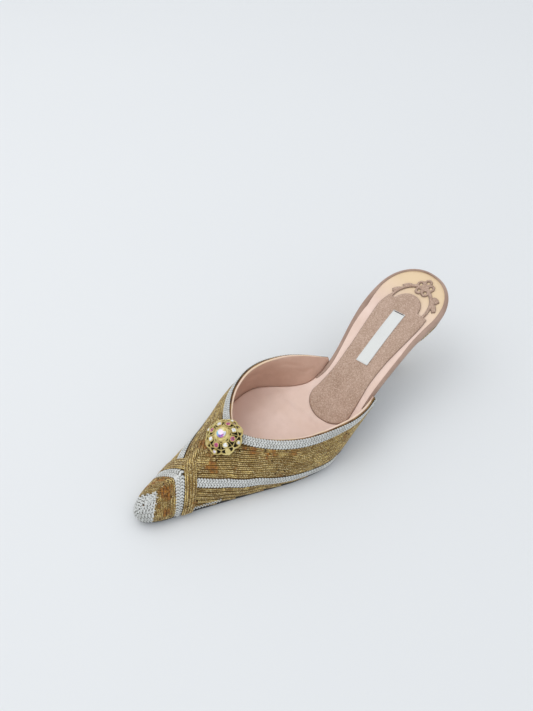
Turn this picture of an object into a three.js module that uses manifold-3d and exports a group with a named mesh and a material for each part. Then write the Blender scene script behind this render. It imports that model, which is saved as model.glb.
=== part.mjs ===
// Left kitten-heel mule with a pointed toe, in millimetres.
// Built with the back of the heel at y = 0 and the toe at +Y, the medial side at +X and the floor at z = 0,
// then shifted so that the origin is under the middle of the shoe's box.
import * as THREE from 'three';
import Module from 'manifold-3d';
import { mergeVertices } from 'three/addons/utils/BufferGeometryUtils.js';

const wasm = await Module();
wasm.setup();

// Driving dimensions
const CENTRE = { x: 2.6, y: 128.7 };      // middle of the shoe's box in plan, which becomes the origin
const GAP = 0.3;                          // clearance between pieces that touch
const FOOTBED_END = 254.6;                // length of the footbed
const FOOTBED_THICK = 3.0;
const OUTSOLE_THICK = 2.1;
const WALL = 2.2;                         // upper and lining together
const HEEL_ROUND = 30;                    // length over which the heel end rounds off
const TOE_ROUND = 13.4;                   // length over which the toe end rounds off
const SOLE_INSET = 0.6;                   // outsole edge inside the upper's face at the forepart
const WAIST_INSET = 1.0;                  // outsole edge inside the footbed's rim at the waist
const WIDENS = { from: 84, to: 112 };       // where the outsole goes over from one inset to the other
const STATIONS = { footbed: 52, outsole: 44 };
const BREAST_Y = 44.5;                    // front of the heel, where the outsole ends
const TIP_HEIGHT = 4.7;                   // height of the heel's top piece
const BRAID_WIDTH = 5.2;                  // flat silver braid
const BRAID_RISE = 0.8;
const CORD_PITCH = 4.55;                  // gold cords, raised two by two
const CORD_WIDTH = 3.85;
const CORD_RISE = 0.5;
const BAND_RISE = 1.1;                    // bands that cross over the others
const SINK = 1.1;                         // depth that a raised strip reaches into the wall
const SOCK_THICK = 0.8;
const LABEL = { width: 9.1, length: 43, thick: 0.5, x: -3.6, y: 58.9, turn: 9.6 };

// Profile of the footbed's top along the shoe
const PROFILE = [
  { y: 0, z: 64.7 }, { y: 25, z: 55.3 }, { y: 50, z: 47.2 }, { y: 80, z: 34.6 }, { y: 110, z: 17.2 },
  { y: 128, z: 10.6 }, { y: 146, z: 6.8 }, { y: 168, z: 5.4 }, { y: 206, z: 5.4 }, { y: 232, z: 6.6 },
  { y: 256, z: 9.0 },
];

// Footbed outline: x of the medial and the lateral edge, before the two ends round off
const OUTLINE = [
  { y: 0, medial: 29.8, lateral: -24.4 }, { y: 14, medial: 29.9, lateral: -24.5 },
  { y: 30, medial: 29.3, lateral: -24.5 }, { y: 45, medial: 27.2, lateral: -24.6 },
  { y: 60, medial: 22.8, lateral: -25.9 }, { y: 80, medial: 15.4, lateral: -28.1 },
  { y: 95, medial: 12.0, lateral: -30.0 }, { y: 105, medial: 12.6, lateral: -31.2 },
  { y: 113, medial: 16.2, lateral: -32.4 }, { y: 120, medial: 22.6, lateral: -33.8 },
  { y: 127, medial: 30.4, lateral: -35.3 }, { y: 134, medial: 37.2, lateral: -36.4 },
  { y: 141, medial: 40.8, lateral: -36.5 }, { y: 149, medial: 41.6, lateral: -34.9 },
  { y: 158, medial: 40.2, lateral: -32.4 }, { y: 168, medial: 37.3, lateral: -29.0 },
  { y: 180, medial: 32.9, lateral: -24.1 }, { y: 200, medial: 27.1, lateral: -16.2 },
  { y: 220, medial: 22.0, lateral: -8.7 }, { y: 240, medial: 17.1, lateral: -2.3 },
  { y: 256, medial: 13.0, lateral: 1.2 },
];

// Sections of the upper, from its rear edge to the tip of the toe. foot is the y of the footbed's edge that
// the section stands on; x, y, z is its top, on the topline or on the ridge; out and over are the lean of
// its side at the foot and at the top, in degrees from upright, out being outwards and over being inwards;
// turn is the way it faces, in degrees from square across.
const RIDGE = [
  { x: 4.8, y: 184.8, z: 34.2 }, { x: 5.4, y: 198.5, z: 30.4 }, { x: 6.0, y: 211.5, z: 26.3 },
  { x: 6.4, y: 225.0, z: 22.0 }, { x: 6.6, y: 236.2, z: 18.7 }, { x: 6.6, y: 243.8, z: 16.9 },
  { x: 6.5, y: 248.2, z: 15.8 },
];
const MEDIAL = [
  { foot: 90, x: 15.2, y: 90.2, z: 29.6, out: 12, over: -30, turn: -8 },
  { foot: 98, x: 20.2, y: 97.0, z: 31.0, out: 20, over: -36, turn: -8 },
  { foot: 106, x: 26.2, y: 105.4, z: 32.8, out: 28, over: -34, turn: -10 },
  { foot: 115, x: 31.6, y: 114.2, z: 34.1, out: 30, over: -22, turn: -12 },
  { foot: 124, x: 35.4, y: 123.8, z: 34.9, out: 24, over: -8, turn: -10 },
  { foot: 134, x: 37.8, y: 133.8, z: 35.3, out: 16, over: 6, turn: -5 },
  { foot: 146, x: 37.8, y: 144.8, z: 35.2, out: 12, over: 18, turn: 0 },
  { foot: 158, x: 34.4, y: 155.6, z: 34.6, out: 10, over: 30, turn: 6 },
  { foot: 170, x: 28.2, y: 165.6, z: 34.0, out: 9, over: 42, turn: 10 },
  { foot: 182, x: 18.6, y: 174.8, z: 33.7, out: 8, over: 56, turn: 12 },
  { foot: 193, out: 8, over: 70, turn: 12 },
  { foot: 205, out: 8, over: 74, turn: 12 },
  { foot: 217, out: 9, over: 74, turn: 13 },
  { foot: 230, out: 10, over: 74, turn: 15 },
  { foot: 241, out: 13, over: 74, turn: 24 },
  { foot: 250.5, out: 17, over: 74, turn: 50 },
  { foot: FOOTBED_END, out: 20, over: 74, turn: 90 },
];
const LATERAL = [
  { foot: 91, x: -31.8, y: 90.6, z: 29.6, out: 4, over: -6, turn: 0 },
  { foot: 98, x: -34.2, y: 97.4, z: 30.2, out: 10, over: -14, turn: 0 },
  { foot: 107, x: -36.4, y: 106.4, z: 31.4, out: 14, over: -10, turn: 0 },
  { foot: 117, x: -37.0, y: 116.4, z: 32.5, out: 14, over: 0, turn: 2 },
  { foot: 128, x: -35.4, y: 127.4, z: 33.0, out: 12, over: 10, turn: 6 },
  { foot: 139, x: -32.6, y: 138.2, z: 32.8, out: 11, over: 20, turn: 12 },
  { foot: 150, x: -28.6, y: 148.6, z: 32.3, out: 10, over: 28, turn: 16 },
  { foot: 161, x: -23.0, y: 158.2, z: 32.1, out: 9, over: 38, turn: 18 },
  { foot: 172, x: -15.8, y: 167.2, z: 32.3, out: 8, over: 48, turn: 19 },
  { foot: 183, x: -6.6, y: 176.0, z: 33.1, out: 8, over: 60, turn: 19 },
  { foot: 193, out: 8, over: 70, turn: 19 },
  { foot: 205, out: 8, over: 74, turn: 19 },
  { foot: 217, out: 9, over: 74, turn: 18 },
  { foot: 230, out: 10, over: 74, turn: 18 },
  { foot: 241, out: 13, over: 74, turn: 24 },
  { foot: 250.5, out: 17, over: 74, turn: 50 },
  { foot: FOOTBED_END, out: 20, over: 74, turn: 90 },
];
const APEX = MEDIAL.length - RIDGE.length;      // section at the bottom of the throat's V
const TOE = MEDIAL.length - 1;
const SIDE_HANDLE = 0.48;                       // handles of a section's curve, as shares of its rise
const TOP_HANDLE = 0.45;
const CROWN_HANDLE = 0.56;                      // and of its reach across
const SHELL = { steps: 2, rows: 5 };            // facets of the upper: along each section and up the wall

// Raised bands that cross the ridge: section on the ridge and at the foot of their rear and front edge
const CROSS_BANDS = [
  { rear: { ridge: 11.98, foot: 12.75 }, front: { ridge: 12.6, foot: 13.3 }, rise: BAND_RISE },
  { rear: { ridge: 12.66, foot: 13.36 }, front: { ridge: 13.2, foot: 13.72 }, rise: BRAID_RISE },
  { rear: { ridge: 13.28, foot: 13.8 }, front: { ridge: 14.62, foot: 14.9 }, rise: CORD_RISE },
];
const CORD_ROWS = [0, 1, 2, 3];                 // pairs of gold cords between the two silver braids
const TOP_BRAID = { from: 0.25, to: BRAID_WIDTH };       // distances below the topline
const FIRST_CORD = 5.7;
const SIDE_BRAID = { from: 24.2, to: 24.2 + BRAID_WIDTH };
const FAN = { start: 9.2, rate: 2.7 };          // the rows spread from this section on, in mm a section
const LEAST_STRIP = 0.03;                       // a strip narrower than this share of the wall isn't drawn
const CROSS_STEPS = 6;

// Sections of the heel, from the seat down: z of the section's middle, y of its back and front, x and half
// width, how far it follows the slope of the seat, and how square its front is
const HEEL = [
  { z: null, back: 2.2, front: 44.0, x: 1.4, half: 25.6, slope: 1.0, square: 0.32 },
  { z: 44.6, back: 7.2, front: 44.3, x: 1.2, half: 23.6, slope: 0.95, square: 0.36 },
  { z: 38.5, back: 15.6, front: 44.4, x: 0.8, half: 17.6, slope: 0.8, square: 0.45 },
  { z: 32.0, back: 23.6, front: 44.2, x: 0.2, half: 11.4, slope: 0.55, square: 0.55 },
  { z: 25.0, back: 30.0, front: 44.0, x: -0.4, half: 7.0, slope: 0.3, square: 0.65 },
  { z: 17.0, back: 34.0, front: 44.1, x: -0.8, half: 5.0, slope: 0.12, square: 0.7 },
  { z: 10.0, back: 35.9, front: 44.4, x: -1.0, half: 4.3, slope: 0, square: 0.7 },
  { z: TIP_HEIGHT + GAP, back: 36.6, front: 44.8, x: -1.0, half: 4.1, slope: 0, square: 0.7 },
];
const HEEL_SIDES = 24;
const HEEL_BACK_ROUND = 0.95;                   // how round the back half of the heel is
const SEAT_TRIM = 1.5;                          // height left on the seat before it is cut to the footbed

// Sock outline: medial and lateral edge along the shoe
const SOCK = [
  { y: 30, medial: 16.8, lateral: -18.0 }, { y: 42, medial: 17.3, lateral: -19.6 },
  { y: 54, medial: 14.3, lateral: -20.0 }, { y: 68, medial: 10.8, lateral: -20.2 },
  { y: 80, medial: 8.3, lateral: -21.2 }, { y: 90, medial: 6.7, lateral: -22.7 },
  { y: 100, medial: 6.5, lateral: -25.2 }, { y: 110, medial: 7.2, lateral: -27.6 },
];
const SOCK_FRONT = 122.3;
const DOME = { x: 1.2, y: 31.7, radius: 11.2 };          // rounded rear of the sock inside the sprig
const VINE = { x: 0.6, y: 29, rx: 13.6, ry: 15.4, width: 2.2, sides: 22 };  // stem that arches over it
const FLOWER = { x: 0.9, y: 12.0, petals: 5, start: -10, reach: 4.2, petal: 2.9, hole: 1.15, eye: 2.4 };
const LEAVES = [                                         // middle, way it points in degrees, length and width
  { x: 12.2, y: 17.4, way: 44, length: 7.8, width: 3.6 }, { x: 16.0, y: 24.0, way: 49, length: 7.8, width: 3.4 },
  { x: 15.8, y: 29.8, way: 57, length: 4.4, width: 1.8 }, { x: -12.4, y: 15.4, way: 160, length: 6.8, width: 3.8 },
  { x: -15.5, y: 21.0, way: 133, length: 7.8, width: 3.4 }, { x: -12.1, y: 18.8, way: 118, length: 8.4, width: 3.2 },
];

// Rosette: a pierced dome with a bezel in the middle, cups round it and loops at the rim
const ROSETTE = { x: 4.4, y: 190.0, z: 33.9, tilt: 17, radius: 12.2, rise: 5.6, wall: 1.5, sides: 20 };
const BEZEL = { radius: 4.6, rise: 1.0 };
const CUPS = { count: 8, ring: 7.3, radius: 2.05, rise: 0.7, start: 21 };
const LOOPS = { count: 8, ring: 10.9, radius: 2.75, rise: 0.5, start: 21, stones: 4 };
const CUP_DEPTH = 0.9;                          // how far bezel, cups and loops reach into the dome
const PIERCED = { count: 8, inner: 7.9, outer: 10.6, radius: 0.8, start: 43.5, reach: 4 };
const RIM_DROP = 1.2;                           // height of the dome's upright rim
const STONE_SIZES = { centre: 3.1, inner: 1.6, outer: 1.2 };

// Interpolation of a named column of a table
function akima(rows, key, at) {
  const n = rows.length;
  const slope = (i) => (rows[i + 1][key] - rows[i][key]) / (rows[i + 1].y - rows[i].y);
  const m = (i) => (i < 0 ? 2 * m(i + 1) - m(i + 2) : i > n - 2 ? 2 * m(i - 1) - m(i - 2) : slope(i));
  const tangent = (i) => {
    const before = Math.abs(m(i - 1) - m(i - 2));
    const after = Math.abs(m(i + 1) - m(i));
    const total = before + after;
    return total < 1e-9 ? (m(i - 1) + m(i)) / 2 : (after * m(i - 1) + before * m(i)) / total;
  };
  let i = 0;
  while (i < n - 2 && at > rows[i + 1].y) i += 1;
  const h = rows[i + 1].y - rows[i].y;
  const t = (at - rows[i].y) / h;
  const a = rows[i][key];
  const b = rows[i + 1][key];
  const [p, q] = [tangent(i) * h, tangent(i + 1) * h];
  return a + t * (p + t * (3 * (b - a) - 2 * p - q + t * (p + q - 2 * (b - a))));
}

function along(rows, key, at) {
  const i = Math.max(0, Math.min(Math.floor(at), rows.length - 2));
  const t = at - i;
  const p1 = rows[i][key];
  const p2 = rows[i + 1][key];
  const p0 = i > 0 ? rows[i - 1][key] : 2 * p1 - p2;
  const p3 = i < rows.length - 2 ? rows[i + 2][key] : 2 * p2 - p1;
  return 0.5 * (2 * p1 + t * (p2 - p0 + t * (2 * p0 - 5 * p1 + 4 * p2 - p3 + t * (3 * (p1 - p2) + p3 - p0))));
}

// Last: footbed heights and outline
const topZ = (y) => akima(PROFILE, 'z', y);
function steep(y) {
  return Math.hypot(1, topZ(y + 0.5) - topZ(y - 0.5));
}
const footbedUnder = (y) => topZ(y) - FOOTBED_THICK * steep(y);
const outsoleTop = (y) => footbedUnder(y) - GAP * steep(y);
const outsoleUnder = (y) => Math.max(0, outsoleTop(y) - OUTSOLE_THICK * steep(y));

function rounding(y) {
  const oval = (d, power) => Math.max(0, 1 - Math.abs(d) ** power) ** (1 / power);
  if (y < HEEL_ROUND) return oval((HEEL_ROUND - y) / HEEL_ROUND, 2.2);
  if (y > FOOTBED_END - TOE_ROUND) return oval((y - FOOTBED_END + TOE_ROUND) / TOE_ROUND, 2);
  return 1;
}

// Point on the footbed's edge at the angle theta, 0 at the back of the heel and pi at the tip of the toe
const edgeY = (theta) => FOOTBED_END * (1 - Math.cos(theta)) / 2;
const edgeTheta = (y) => Math.acos(1 - 2 * y / FOOTBED_END);
function edgeRaw(side, theta) {
  const y = edgeY(theta);
  const medial = akima(OUTLINE, 'medial', y);
  const lateral = akima(OUTLINE, 'lateral', y);
  const half = (medial - lateral) / 2 * rounding(y);
  return new THREE.Vector2((medial + lateral) / 2 + side * half, y);
}
function edge(side, theta, offset) {
  const step = 0.004;
  const a = edgeRaw(side, Math.max(0, theta - step));
  const b = edgeRaw(side, Math.min(Math.PI, theta + step));
  const tangent = b.sub(a).normalize();
  const atEnd = theta < 1e-6 || theta > Math.PI - 1e-6;
  const normal = atEnd ? new THREE.Vector2(0, theta > 1 ? 1 : -1)
    : new THREE.Vector2(side * tangent.y, -side * tangent.x);
  return edgeRaw(side, theta).addScaledVector(normal, offset);
}

// Surface of the upper: s counts the sections from the rear, v runs from the foot (0) to the top (1)
const deg = Math.PI / 180;
const table = (side) => (side > 0 ? MEDIAL : LATERAL);
for (const rows of [MEDIAL, LATERAL]) {
  RIDGE.forEach((point, i) => Object.assign(rows[APEX + i], point));
  rows.forEach((row) => { row.theta = edgeTheta(row.foot); });
}

function section(side, s) {
  const rows = table(side);
  const get = (key) => along(rows, key, s);
  const turn = get('turn') * deg;
  const face = new THREE.Vector3(side * Math.cos(turn), Math.sin(turn), 0);
  const plan = edge(side, Math.min(Math.PI, get('theta')), GAP + WALL);
  const foot = new THREE.Vector3(plan.x, plan.y, outsoleTop(Math.min(plan.y, FOOTBED_END)) + GAP);
  const ahead = s > APEX ? s - APEX : 0;
  const ridge = (key) => (s > APEX ? along(RIDGE, key, ahead) : get(key));
  const top = new THREE.Vector3(ridge('x'), ridge('y'), ridge('z'));
  const rise = Math.max(top.z - foot.z, 1);
  const reach = Math.abs(top.clone().sub(foot).dot(face));
  const tilt = (angle, sign) => face.clone().multiplyScalar(sign * Math.sin(angle * deg))
    .add(new THREE.Vector3(0, 0, Math.cos(angle * deg)));
  const low = foot.clone().addScaledVector(tilt(get('out'), 1), SIDE_HANDLE * rise);
  const over = get('over');
  const span = Math.abs(Math.cos(over * deg)) * rise * TOP_HANDLE
    + Math.abs(Math.sin(over * deg)) * reach * CROWN_HANDLE;
  const high = top.clone().addScaledVector(tilt(over, -1), -span);
  return new THREE.CubicBezierCurve3(foot, low, high, top);
}

const point = (side, s, v) => section(side, s).getPoint(v);
function normal(side, s, v) {
  const e = 0.02;
  const s0 = Math.max(0, s - e);
  const s1 = Math.min(TOE, s + e);
  const v0 = Math.max(0, Math.min(v, 1 - e) - e);
  const v1 = Math.min(1, v + e);
  const ds = point(side, s1, v).sub(point(side, s0, v));
  const dv = point(side, s, v1).sub(point(side, s, v0));
  return ds.cross(dv).multiplyScalar(side).normalize();
}

// Closed meshes from rings and grids
function soup(triangles) {
  const flat = new Float32Array(triangles.length * 9);
  triangles.forEach((t, i) => t.forEach((p, j) => flat.set([p.x, p.y, p.z], i * 9 + j * 3)));
  const geometry = new THREE.BufferGeometry();
  geometry.setAttribute('position', new THREE.BufferAttribute(flat, 3));
  return weld(geometry);
}

function weld(geometry) {
  const plain = geometry.clone();
  for (const name of Object.keys(plain.attributes)) if (name !== 'position') plain.deleteAttribute(name);
  const merged = mergeVertices(plain, 2e-4);
  const index = merged.index.array;
  const kept = [];
  for (let i = 0; i < index.length; i += 3) {
    const [a, b, c] = [index[i], index[i + 1], index[i + 2]];
    if (a !== b && b !== c && c !== a) kept.push(a, b, c);
  }
  merged.setIndex(kept);
  return merged;
}

function quad(list, a, b, c, d) {
  list.push([a, b, c], [a, c, d]);
}

// Tube of rings, each a closed loop of points seen anticlockwise from the far end, capped by fans
function loft(rings) {
  const list = [];
  const count = rings[0].length;
  for (let i = 0; i < rings.length - 1; i += 1) {
    for (let j = 0; j < count; j += 1) {
      const k = (j + 1) % count;
      quad(list, rings[i][j], rings[i][k], rings[i + 1][k], rings[i + 1][j]);
    }
  }
  const middle = (ring) => ring.reduce((sum, p) => sum.add(p), new THREE.Vector3()).divideScalar(count);
  const [first, last] = [rings[0], rings[rings.length - 1]];
  const [start, end] = [middle(first), middle(last)];
  for (let j = 0; j < count; j += 1) {
    const k = (j + 1) % count;
    list.push([start, first[k], first[j]], [end, last[j], last[k]]);
  }
  return soup(list);
}

// Slab between two heights that depend on y, with edges given at a row of stations
function slab(stations, under, over) {
  const rings = stations.map(({ medial, lateral }) => [
    new THREE.Vector3(lateral.x, lateral.y, under(lateral.y)),
    new THREE.Vector3(medial.x, medial.y, under(medial.y)),
    new THREE.Vector3(medial.x, medial.y, over(medial.y)),
    new THREE.Vector3(lateral.x, lateral.y, over(lateral.y)),
  ]);
  const list = [];
  for (let i = 0; i < rings.length - 1; i += 1) {
    for (let j = 0; j < 4; j += 1) {
      const k = (j + 1) % 4;
      quad(list, rings[i][k], rings[i][j], rings[i + 1][j], rings[i + 1][k]);
    }
  }
  const [a, b] = [rings[0], rings[rings.length - 1]];
  quad(list, a[0], a[1], a[2], a[3]);
  quad(list, b[3], b[2], b[1], b[0]);
  return soup(list);
}

// Booleans
function solid(geometry) {
  const plain = weld(geometry);
  return new wasm.Manifold(new wasm.Mesh({
    numProp: 3,
    vertProperties: new Float32Array(plain.attributes.position.array),
    triVerts: new Uint32Array(plain.index.array),
  }));
}
function shape(manifold) {
  const mesh = manifold.getMesh();
  const geometry = new THREE.BufferGeometry();
  geometry.setAttribute('position', new THREE.BufferAttribute(new Float32Array(mesh.vertProperties), 3));
  geometry.setIndex([...mesh.triVerts]);
  return geometry;
}

// Stations round the footbed's outline, with an offset that depends on y
function edgeStations(from, to, count, offset) {
  const [a, b] = [edgeTheta(from), edgeTheta(to)];
  return Array.from({ length: count + 1 }, (_, i) => {
    const theta = a + (b - a) * i / count;
    const out = offset(edgeY(theta));
    return { medial: edge(1, theta, out), lateral: edge(-1, theta, out) };
  });
}

// The footbed draws in at the toe, where the facets of the upper cut across the round end
function buildFootbed() {
  const clear = (y) => -GAP * THREE.MathUtils.smoothstep(y, FOOTBED_END - 2 * TOE_ROUND, FOOTBED_END);
  return slab(edgeStations(0, FOOTBED_END, STATIONS.footbed, clear), footbedUnder, topZ);
}

// The outsole widens where the upper begins
function buildOutsole() {
  const full = GAP + WALL - SOLE_INSET;
  const out = (y) => -WAIST_INSET + (full + WAIST_INSET) * THREE.MathUtils.smoothstep(y, WIDENS.from, WIDENS.to);
  return slab(edgeStations(BREAST_Y + GAP, FOOTBED_END, STATIONS.outsole, out), outsoleUnder, outsoleTop);
}

// Upper: an outer sheet, the same sheet set in by the wall, and the edge between them
// lifted is how far the outer face stands out, for the form that other pieces are cut by
function upperShell(lifted, steps, rows) {
  const columns = TOE * steps;
  const key = new Map();
  const outer = [];
  const id = (side, i, j) => {
    const p = point(side, i / steps, j / rows);
    const name = [p.x, p.y, p.z].map((value) => value.toFixed(3)).join(' ');
    if (!key.has(name)) {
      key.set(name, outer.length);
      outer.push({ p, n: new THREE.Vector3(), foot: j === 0 });
    }
    return key.get(name);
  };
  const faces = [];
  for (const side of [1, -1]) {
    for (let i = 0; i < columns; i += 1) {
      for (let j = 0; j < rows; j += 1) {
        const [a, b, c, d] = [id(side, i, j), id(side, i + 1, j), id(side, i + 1, j + 1), id(side, i, j + 1)];
        const pair = side > 0 ? [[a, b, c], [a, c, d]] : [[b, a, d], [b, d, c]];
        faces.push(...pair.filter(([p, q, r]) => p !== q && q !== r && r !== p));
      }
    }
  }
  for (const [a, b, c] of faces) {
    const n = outer[b].p.clone().sub(outer[a].p).cross(outer[c].p.clone().sub(outer[a].p));
    for (const corner of [a, b, c]) outer[corner].n.add(n);
  }
  for (const vertex of outer) {
    if (vertex.foot) vertex.n.z = 0;
    vertex.n.normalize();
    vertex.inner = vertex.p.clone().addScaledVector(vertex.n, -WALL);
    vertex.p.addScaledVector(vertex.n, lifted);
  }
  const list = [];
  const used = new Map();
  for (const face of faces) {
    const [a, b, c] = face.map((i) => outer[i]);
    list.push([a.p, b.p, c.p], [a.inner, c.inner, b.inner]);
    for (let i = 0; i < 3; i += 1) used.set(`${face[i]} ${face[(i + 1) % 3]}`, [face[i], face[(i + 1) % 3]]);
  }
  for (const [a, b] of used.values()) {
    if (!used.has(`${b} ${a}`)) quad(list, outer[b].p, outer[a].p, outer[a].inner, outer[b].inner);
  }
  return soup(list);
}

// Distance of a point from the topline, carried on straight past the bottom of the V
const PAST_V = 40;
const HALVINGS = 18;
const toplines = new Map([1, -1].map((side) => {
  const line = [];
  for (let s = 0; s <= APEX; s += 0.25) line.push(point(side, s, 1));
  const tip = line[line.length - 1];
  const way = tip.clone().sub(line[line.length - 4]).normalize();
  for (let reach = 2; reach <= PAST_V; reach += 2) line.push(tip.clone().addScaledVector(way, reach));
  return [side, line];
}));
const span = new THREE.Line3();
const nearest = new THREE.Vector3();
function fromTopline(side, p) {
  const line = toplines.get(side);
  let best = Infinity;
  for (let i = 0; i < line.length - 1; i += 1) {
    span.set(line[i], line[i + 1]).closestPointToPoint(p, true, nearest);
    best = Math.min(best, nearest.distanceTo(p));
  }
  return best;
}
function heightAt(side, s, distance) {
  let [low, high] = [0, 1];
  if (fromTopline(side, point(side, s, 1)) >= distance) return 1;
  if (fromTopline(side, point(side, s, 0)) <= distance) return 0;
  for (let i = 0; i < HALVINGS; i += 1) {
    const middle = (low + high) / 2;
    if (fromTopline(side, point(side, s, middle)) > distance) low = middle;
    else high = middle;
  }
  return (low + high) / 2;
}

// Ribbon on the upper: a row of [lower, upper] edge places, each { s, v }, raised by rise
function ribbon(side, path, rise) {
  const rings = path.map(([low, high]) => {
    const [pl, ph] = [point(side, low.s, low.v), point(side, high.s, high.v)];
    const [nl, nh] = [normal(side, low.s, low.v), normal(side, high.s, high.v)];
    const ring = [pl.clone().addScaledVector(nl, -SINK), ph.clone().addScaledVector(nh, -SINK),
      ph.clone().addScaledVector(nh, rise), pl.clone().addScaledVector(nl, rise)];
    return side > 0 ? ring : ring.reverse();
  });
  return solid(loft(rings));
}

function crossingEdge(band, v) {
  return band.ridge + (band.foot - band.ridge) * (1 - v);
}

// Strip that runs beside the topline from the rear until it goes under the crossing band
function runner(side, from, to, rise) {
  const path = [];
  const band = CROSS_BANDS[0];
  for (let s = from > BRAID_WIDTH ? 1 : 0; s < TOE; s += 0.5) {
    const fan = from > BRAID_WIDTH ? FAN.rate * Math.max(0, s - FAN.start) : 0;
    const [high, low] = [heightAt(side, s, from + fan), heightAt(side, s, to + fan)];
    const middle = (high + low) / 2;
    const stop = (crossingEdge(band.rear, middle) + crossingEdge(band.front, middle)) / 2;
    if (s > stop) break;
    if (high - low > LEAST_STRIP) path.push([{ s, v: low }, { s, v: Math.min(high, 0.999) }]);
    else if (path.length > 0) break;
  }
  return path.length > 1 ? [ribbon(side, path, rise)] : [];
}

function crossBand(side, band) {
  const path = [];
  for (let i = 0; i <= CROSS_STEPS; i += 1) {
    const v = THREE.MathUtils.lerp(0.02, 0.995, i / CROSS_STEPS);
    path.push([{ s: crossingEdge(band.front, v), v }, { s: crossingEdge(band.rear, v), v }]);
  }
  return ribbon(side, path, band.rise);
}

function buildUpper() {
  const strips = [];
  for (const side of [1, -1]) {
    strips.push(...runner(side, TOP_BRAID.from, TOP_BRAID.to, BRAID_RISE));
    strips.push(...runner(side, SIDE_BRAID.from, SIDE_BRAID.to, BRAID_RISE));
    for (const row of CORD_ROWS) {
      const from = FIRST_CORD + row * CORD_PITCH;
      strips.push(...runner(side, from, from + CORD_WIDTH, CORD_RISE));
    }
    for (const band of CROSS_BANDS) strips.push(crossBand(side, band));
  }
  return shape(strips.reduce((sum, strip) => sum.add(strip), solid(upperShell(0, SHELL.steps, SHELL.rows))));
}

// Heel and its top piece
function heelRing(row) {
  const middleY = (row.back + row.front) / 2;
  const seatZ = (y) => footbedUnder(y) - GAP;
  const z = row.z ?? seatZ(middleY) + SEAT_TRIM;
  return Array.from({ length: HEEL_SIDES }, (_, i) => {
    const turn = -2 * Math.PI * i / HEEL_SIDES;
    const [c, s] = [Math.cos(turn), Math.sin(turn)];
    const length = (row.front - row.back) / 2;
    const y = middleY + length * (s > 0 ? s ** row.square : s);
    const x = row.x + row.half * Math.sign(c) * Math.abs(c) ** (s > 0 ? row.square : HEEL_BACK_ROUND);
    return new THREE.Vector3(x, y, z + row.slope * (seatZ(y) - seatZ(middleY)));
  });
}

// The heel's seat is cut to the underside of the footbed
function buildHeel() {
  const stations = Array.from({ length: 20 }, (_, i) => {
    const y = -6 + 3 * i;
    return { medial: new THREE.Vector2(40, y), lateral: new THREE.Vector2(-40, y) };
  });
  const above = slab(stations, (y) => footbedUnder(y) - GAP * steep(y), (y) => topZ(y) + 20);
  return shape(solid(loft(HEEL.map(heelRing))).subtract(solid(above)));
}

function buildHeelTip() {
  const last = HEEL[HEEL.length - 1];
  const ring = (z) => heelRing({ ...last, z, half: last.half + 0.15 });
  return loft([ring(TIP_HEIGHT), ring(0)]);
}

// Pieces that lie on the footbed: an upright prism cut out of a layer that follows the profile
function layer(under, thick) {
  const stations = Array.from({ length: 26 }, (_, i) => {
    const y = 4 + 5 * i;
    return { medial: new THREE.Vector2(34, y), lateral: new THREE.Vector2(-34, y) };
  });
  return solid(slab(stations, (y) => topZ(y) + under * steep(y), (y) => topZ(y) + (under + thick) * steep(y)));
}

const PRISM_HEIGHT = 80;
function prism(outline) {
  const geometry = new THREE.ExtrudeGeometry(new THREE.Shape(outline), { depth: PRISM_HEIGHT, bevelEnabled: false });
  return solid(geometry);
}

function oval(x, y, rx, ry, sides, way = 0) {
  const turn = way * deg;
  return Array.from({ length: sides }, (_, i) => {
    const a = 2 * Math.PI * i / sides;
    const [u, w] = [rx * Math.cos(a), ry * Math.sin(a)];
    const [c, s] = [Math.cos(turn), Math.sin(turn)];
    return new THREE.Vector2(x + u * c - w * s, y + u * s + w * c);
  });
}

function sockOutline() {
  const points = [];
  const [rear, front] = [SOCK[0].y, SOCK[SOCK.length - 1].y];
  const count = 16;
  const at = (i) => rear + (front - rear) * i / count;
  for (let i = 0; i <= count; i += 1) points.push(new THREE.Vector2(akima(SOCK, 'medial', at(i)), at(i)));
  const end = SOCK[SOCK.length - 1];
  const [middle, half] = [(end.medial + end.lateral) / 2, (end.medial - end.lateral) / 2];
  for (let i = 1; i < 12; i += 1) {
    const a = Math.PI * i / 12;
    points.push(new THREE.Vector2(middle + half * Math.cos(a), front + (SOCK_FRONT - front) * Math.sin(a)));
  }
  for (let i = count; i >= 0; i -= 1) points.push(new THREE.Vector2(akima(SOCK, 'lateral', at(i)), at(i)));
  return points;
}

function buildSock() {
  const arch = (grow) => prism(oval(VINE.x, VINE.y, VINE.rx + grow, VINE.ry + grow, VINE.sides));
  const behind = prism([[-40, -10], [40, -10], [40, VINE.y + 2.5], [-40, VINE.y + 2.5]]
    .map(([x, y]) => new THREE.Vector2(x, y)));
  let sprig = arch(VINE.width).subtract(arch(0)).intersect(behind);
  for (const leaf of LEAVES) {
    sprig = sprig.add(prism(oval(leaf.x, leaf.y, leaf.length / 2, leaf.width / 2, 8, leaf.way)));
  }
  sprig = sprig.add(prism(oval(FLOWER.x, FLOWER.y, FLOWER.eye, FLOWER.eye, 10)));
  const petals = Array.from({ length: FLOWER.petals }, (_, i) => {
    const a = (FLOWER.start + 360 * i / FLOWER.petals) * deg;
    return [FLOWER.x + FLOWER.reach * Math.cos(a), FLOWER.y + FLOWER.reach * Math.sin(a)];
  });
  for (const [x, y] of petals) sprig = sprig.add(prism(oval(x, y, FLOWER.petal, FLOWER.petal, 10)));
  for (const [x, y] of petals) sprig = sprig.subtract(prism(oval(x, y, FLOWER.hole, FLOWER.hole, 6)));
  const body = prism(sockOutline()).add(prism(oval(DOME.x, DOME.y, DOME.radius, DOME.radius, 20)));
  return shape(body.add(sprig).intersect(layer(GAP, SOCK_THICK)));
}

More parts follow.
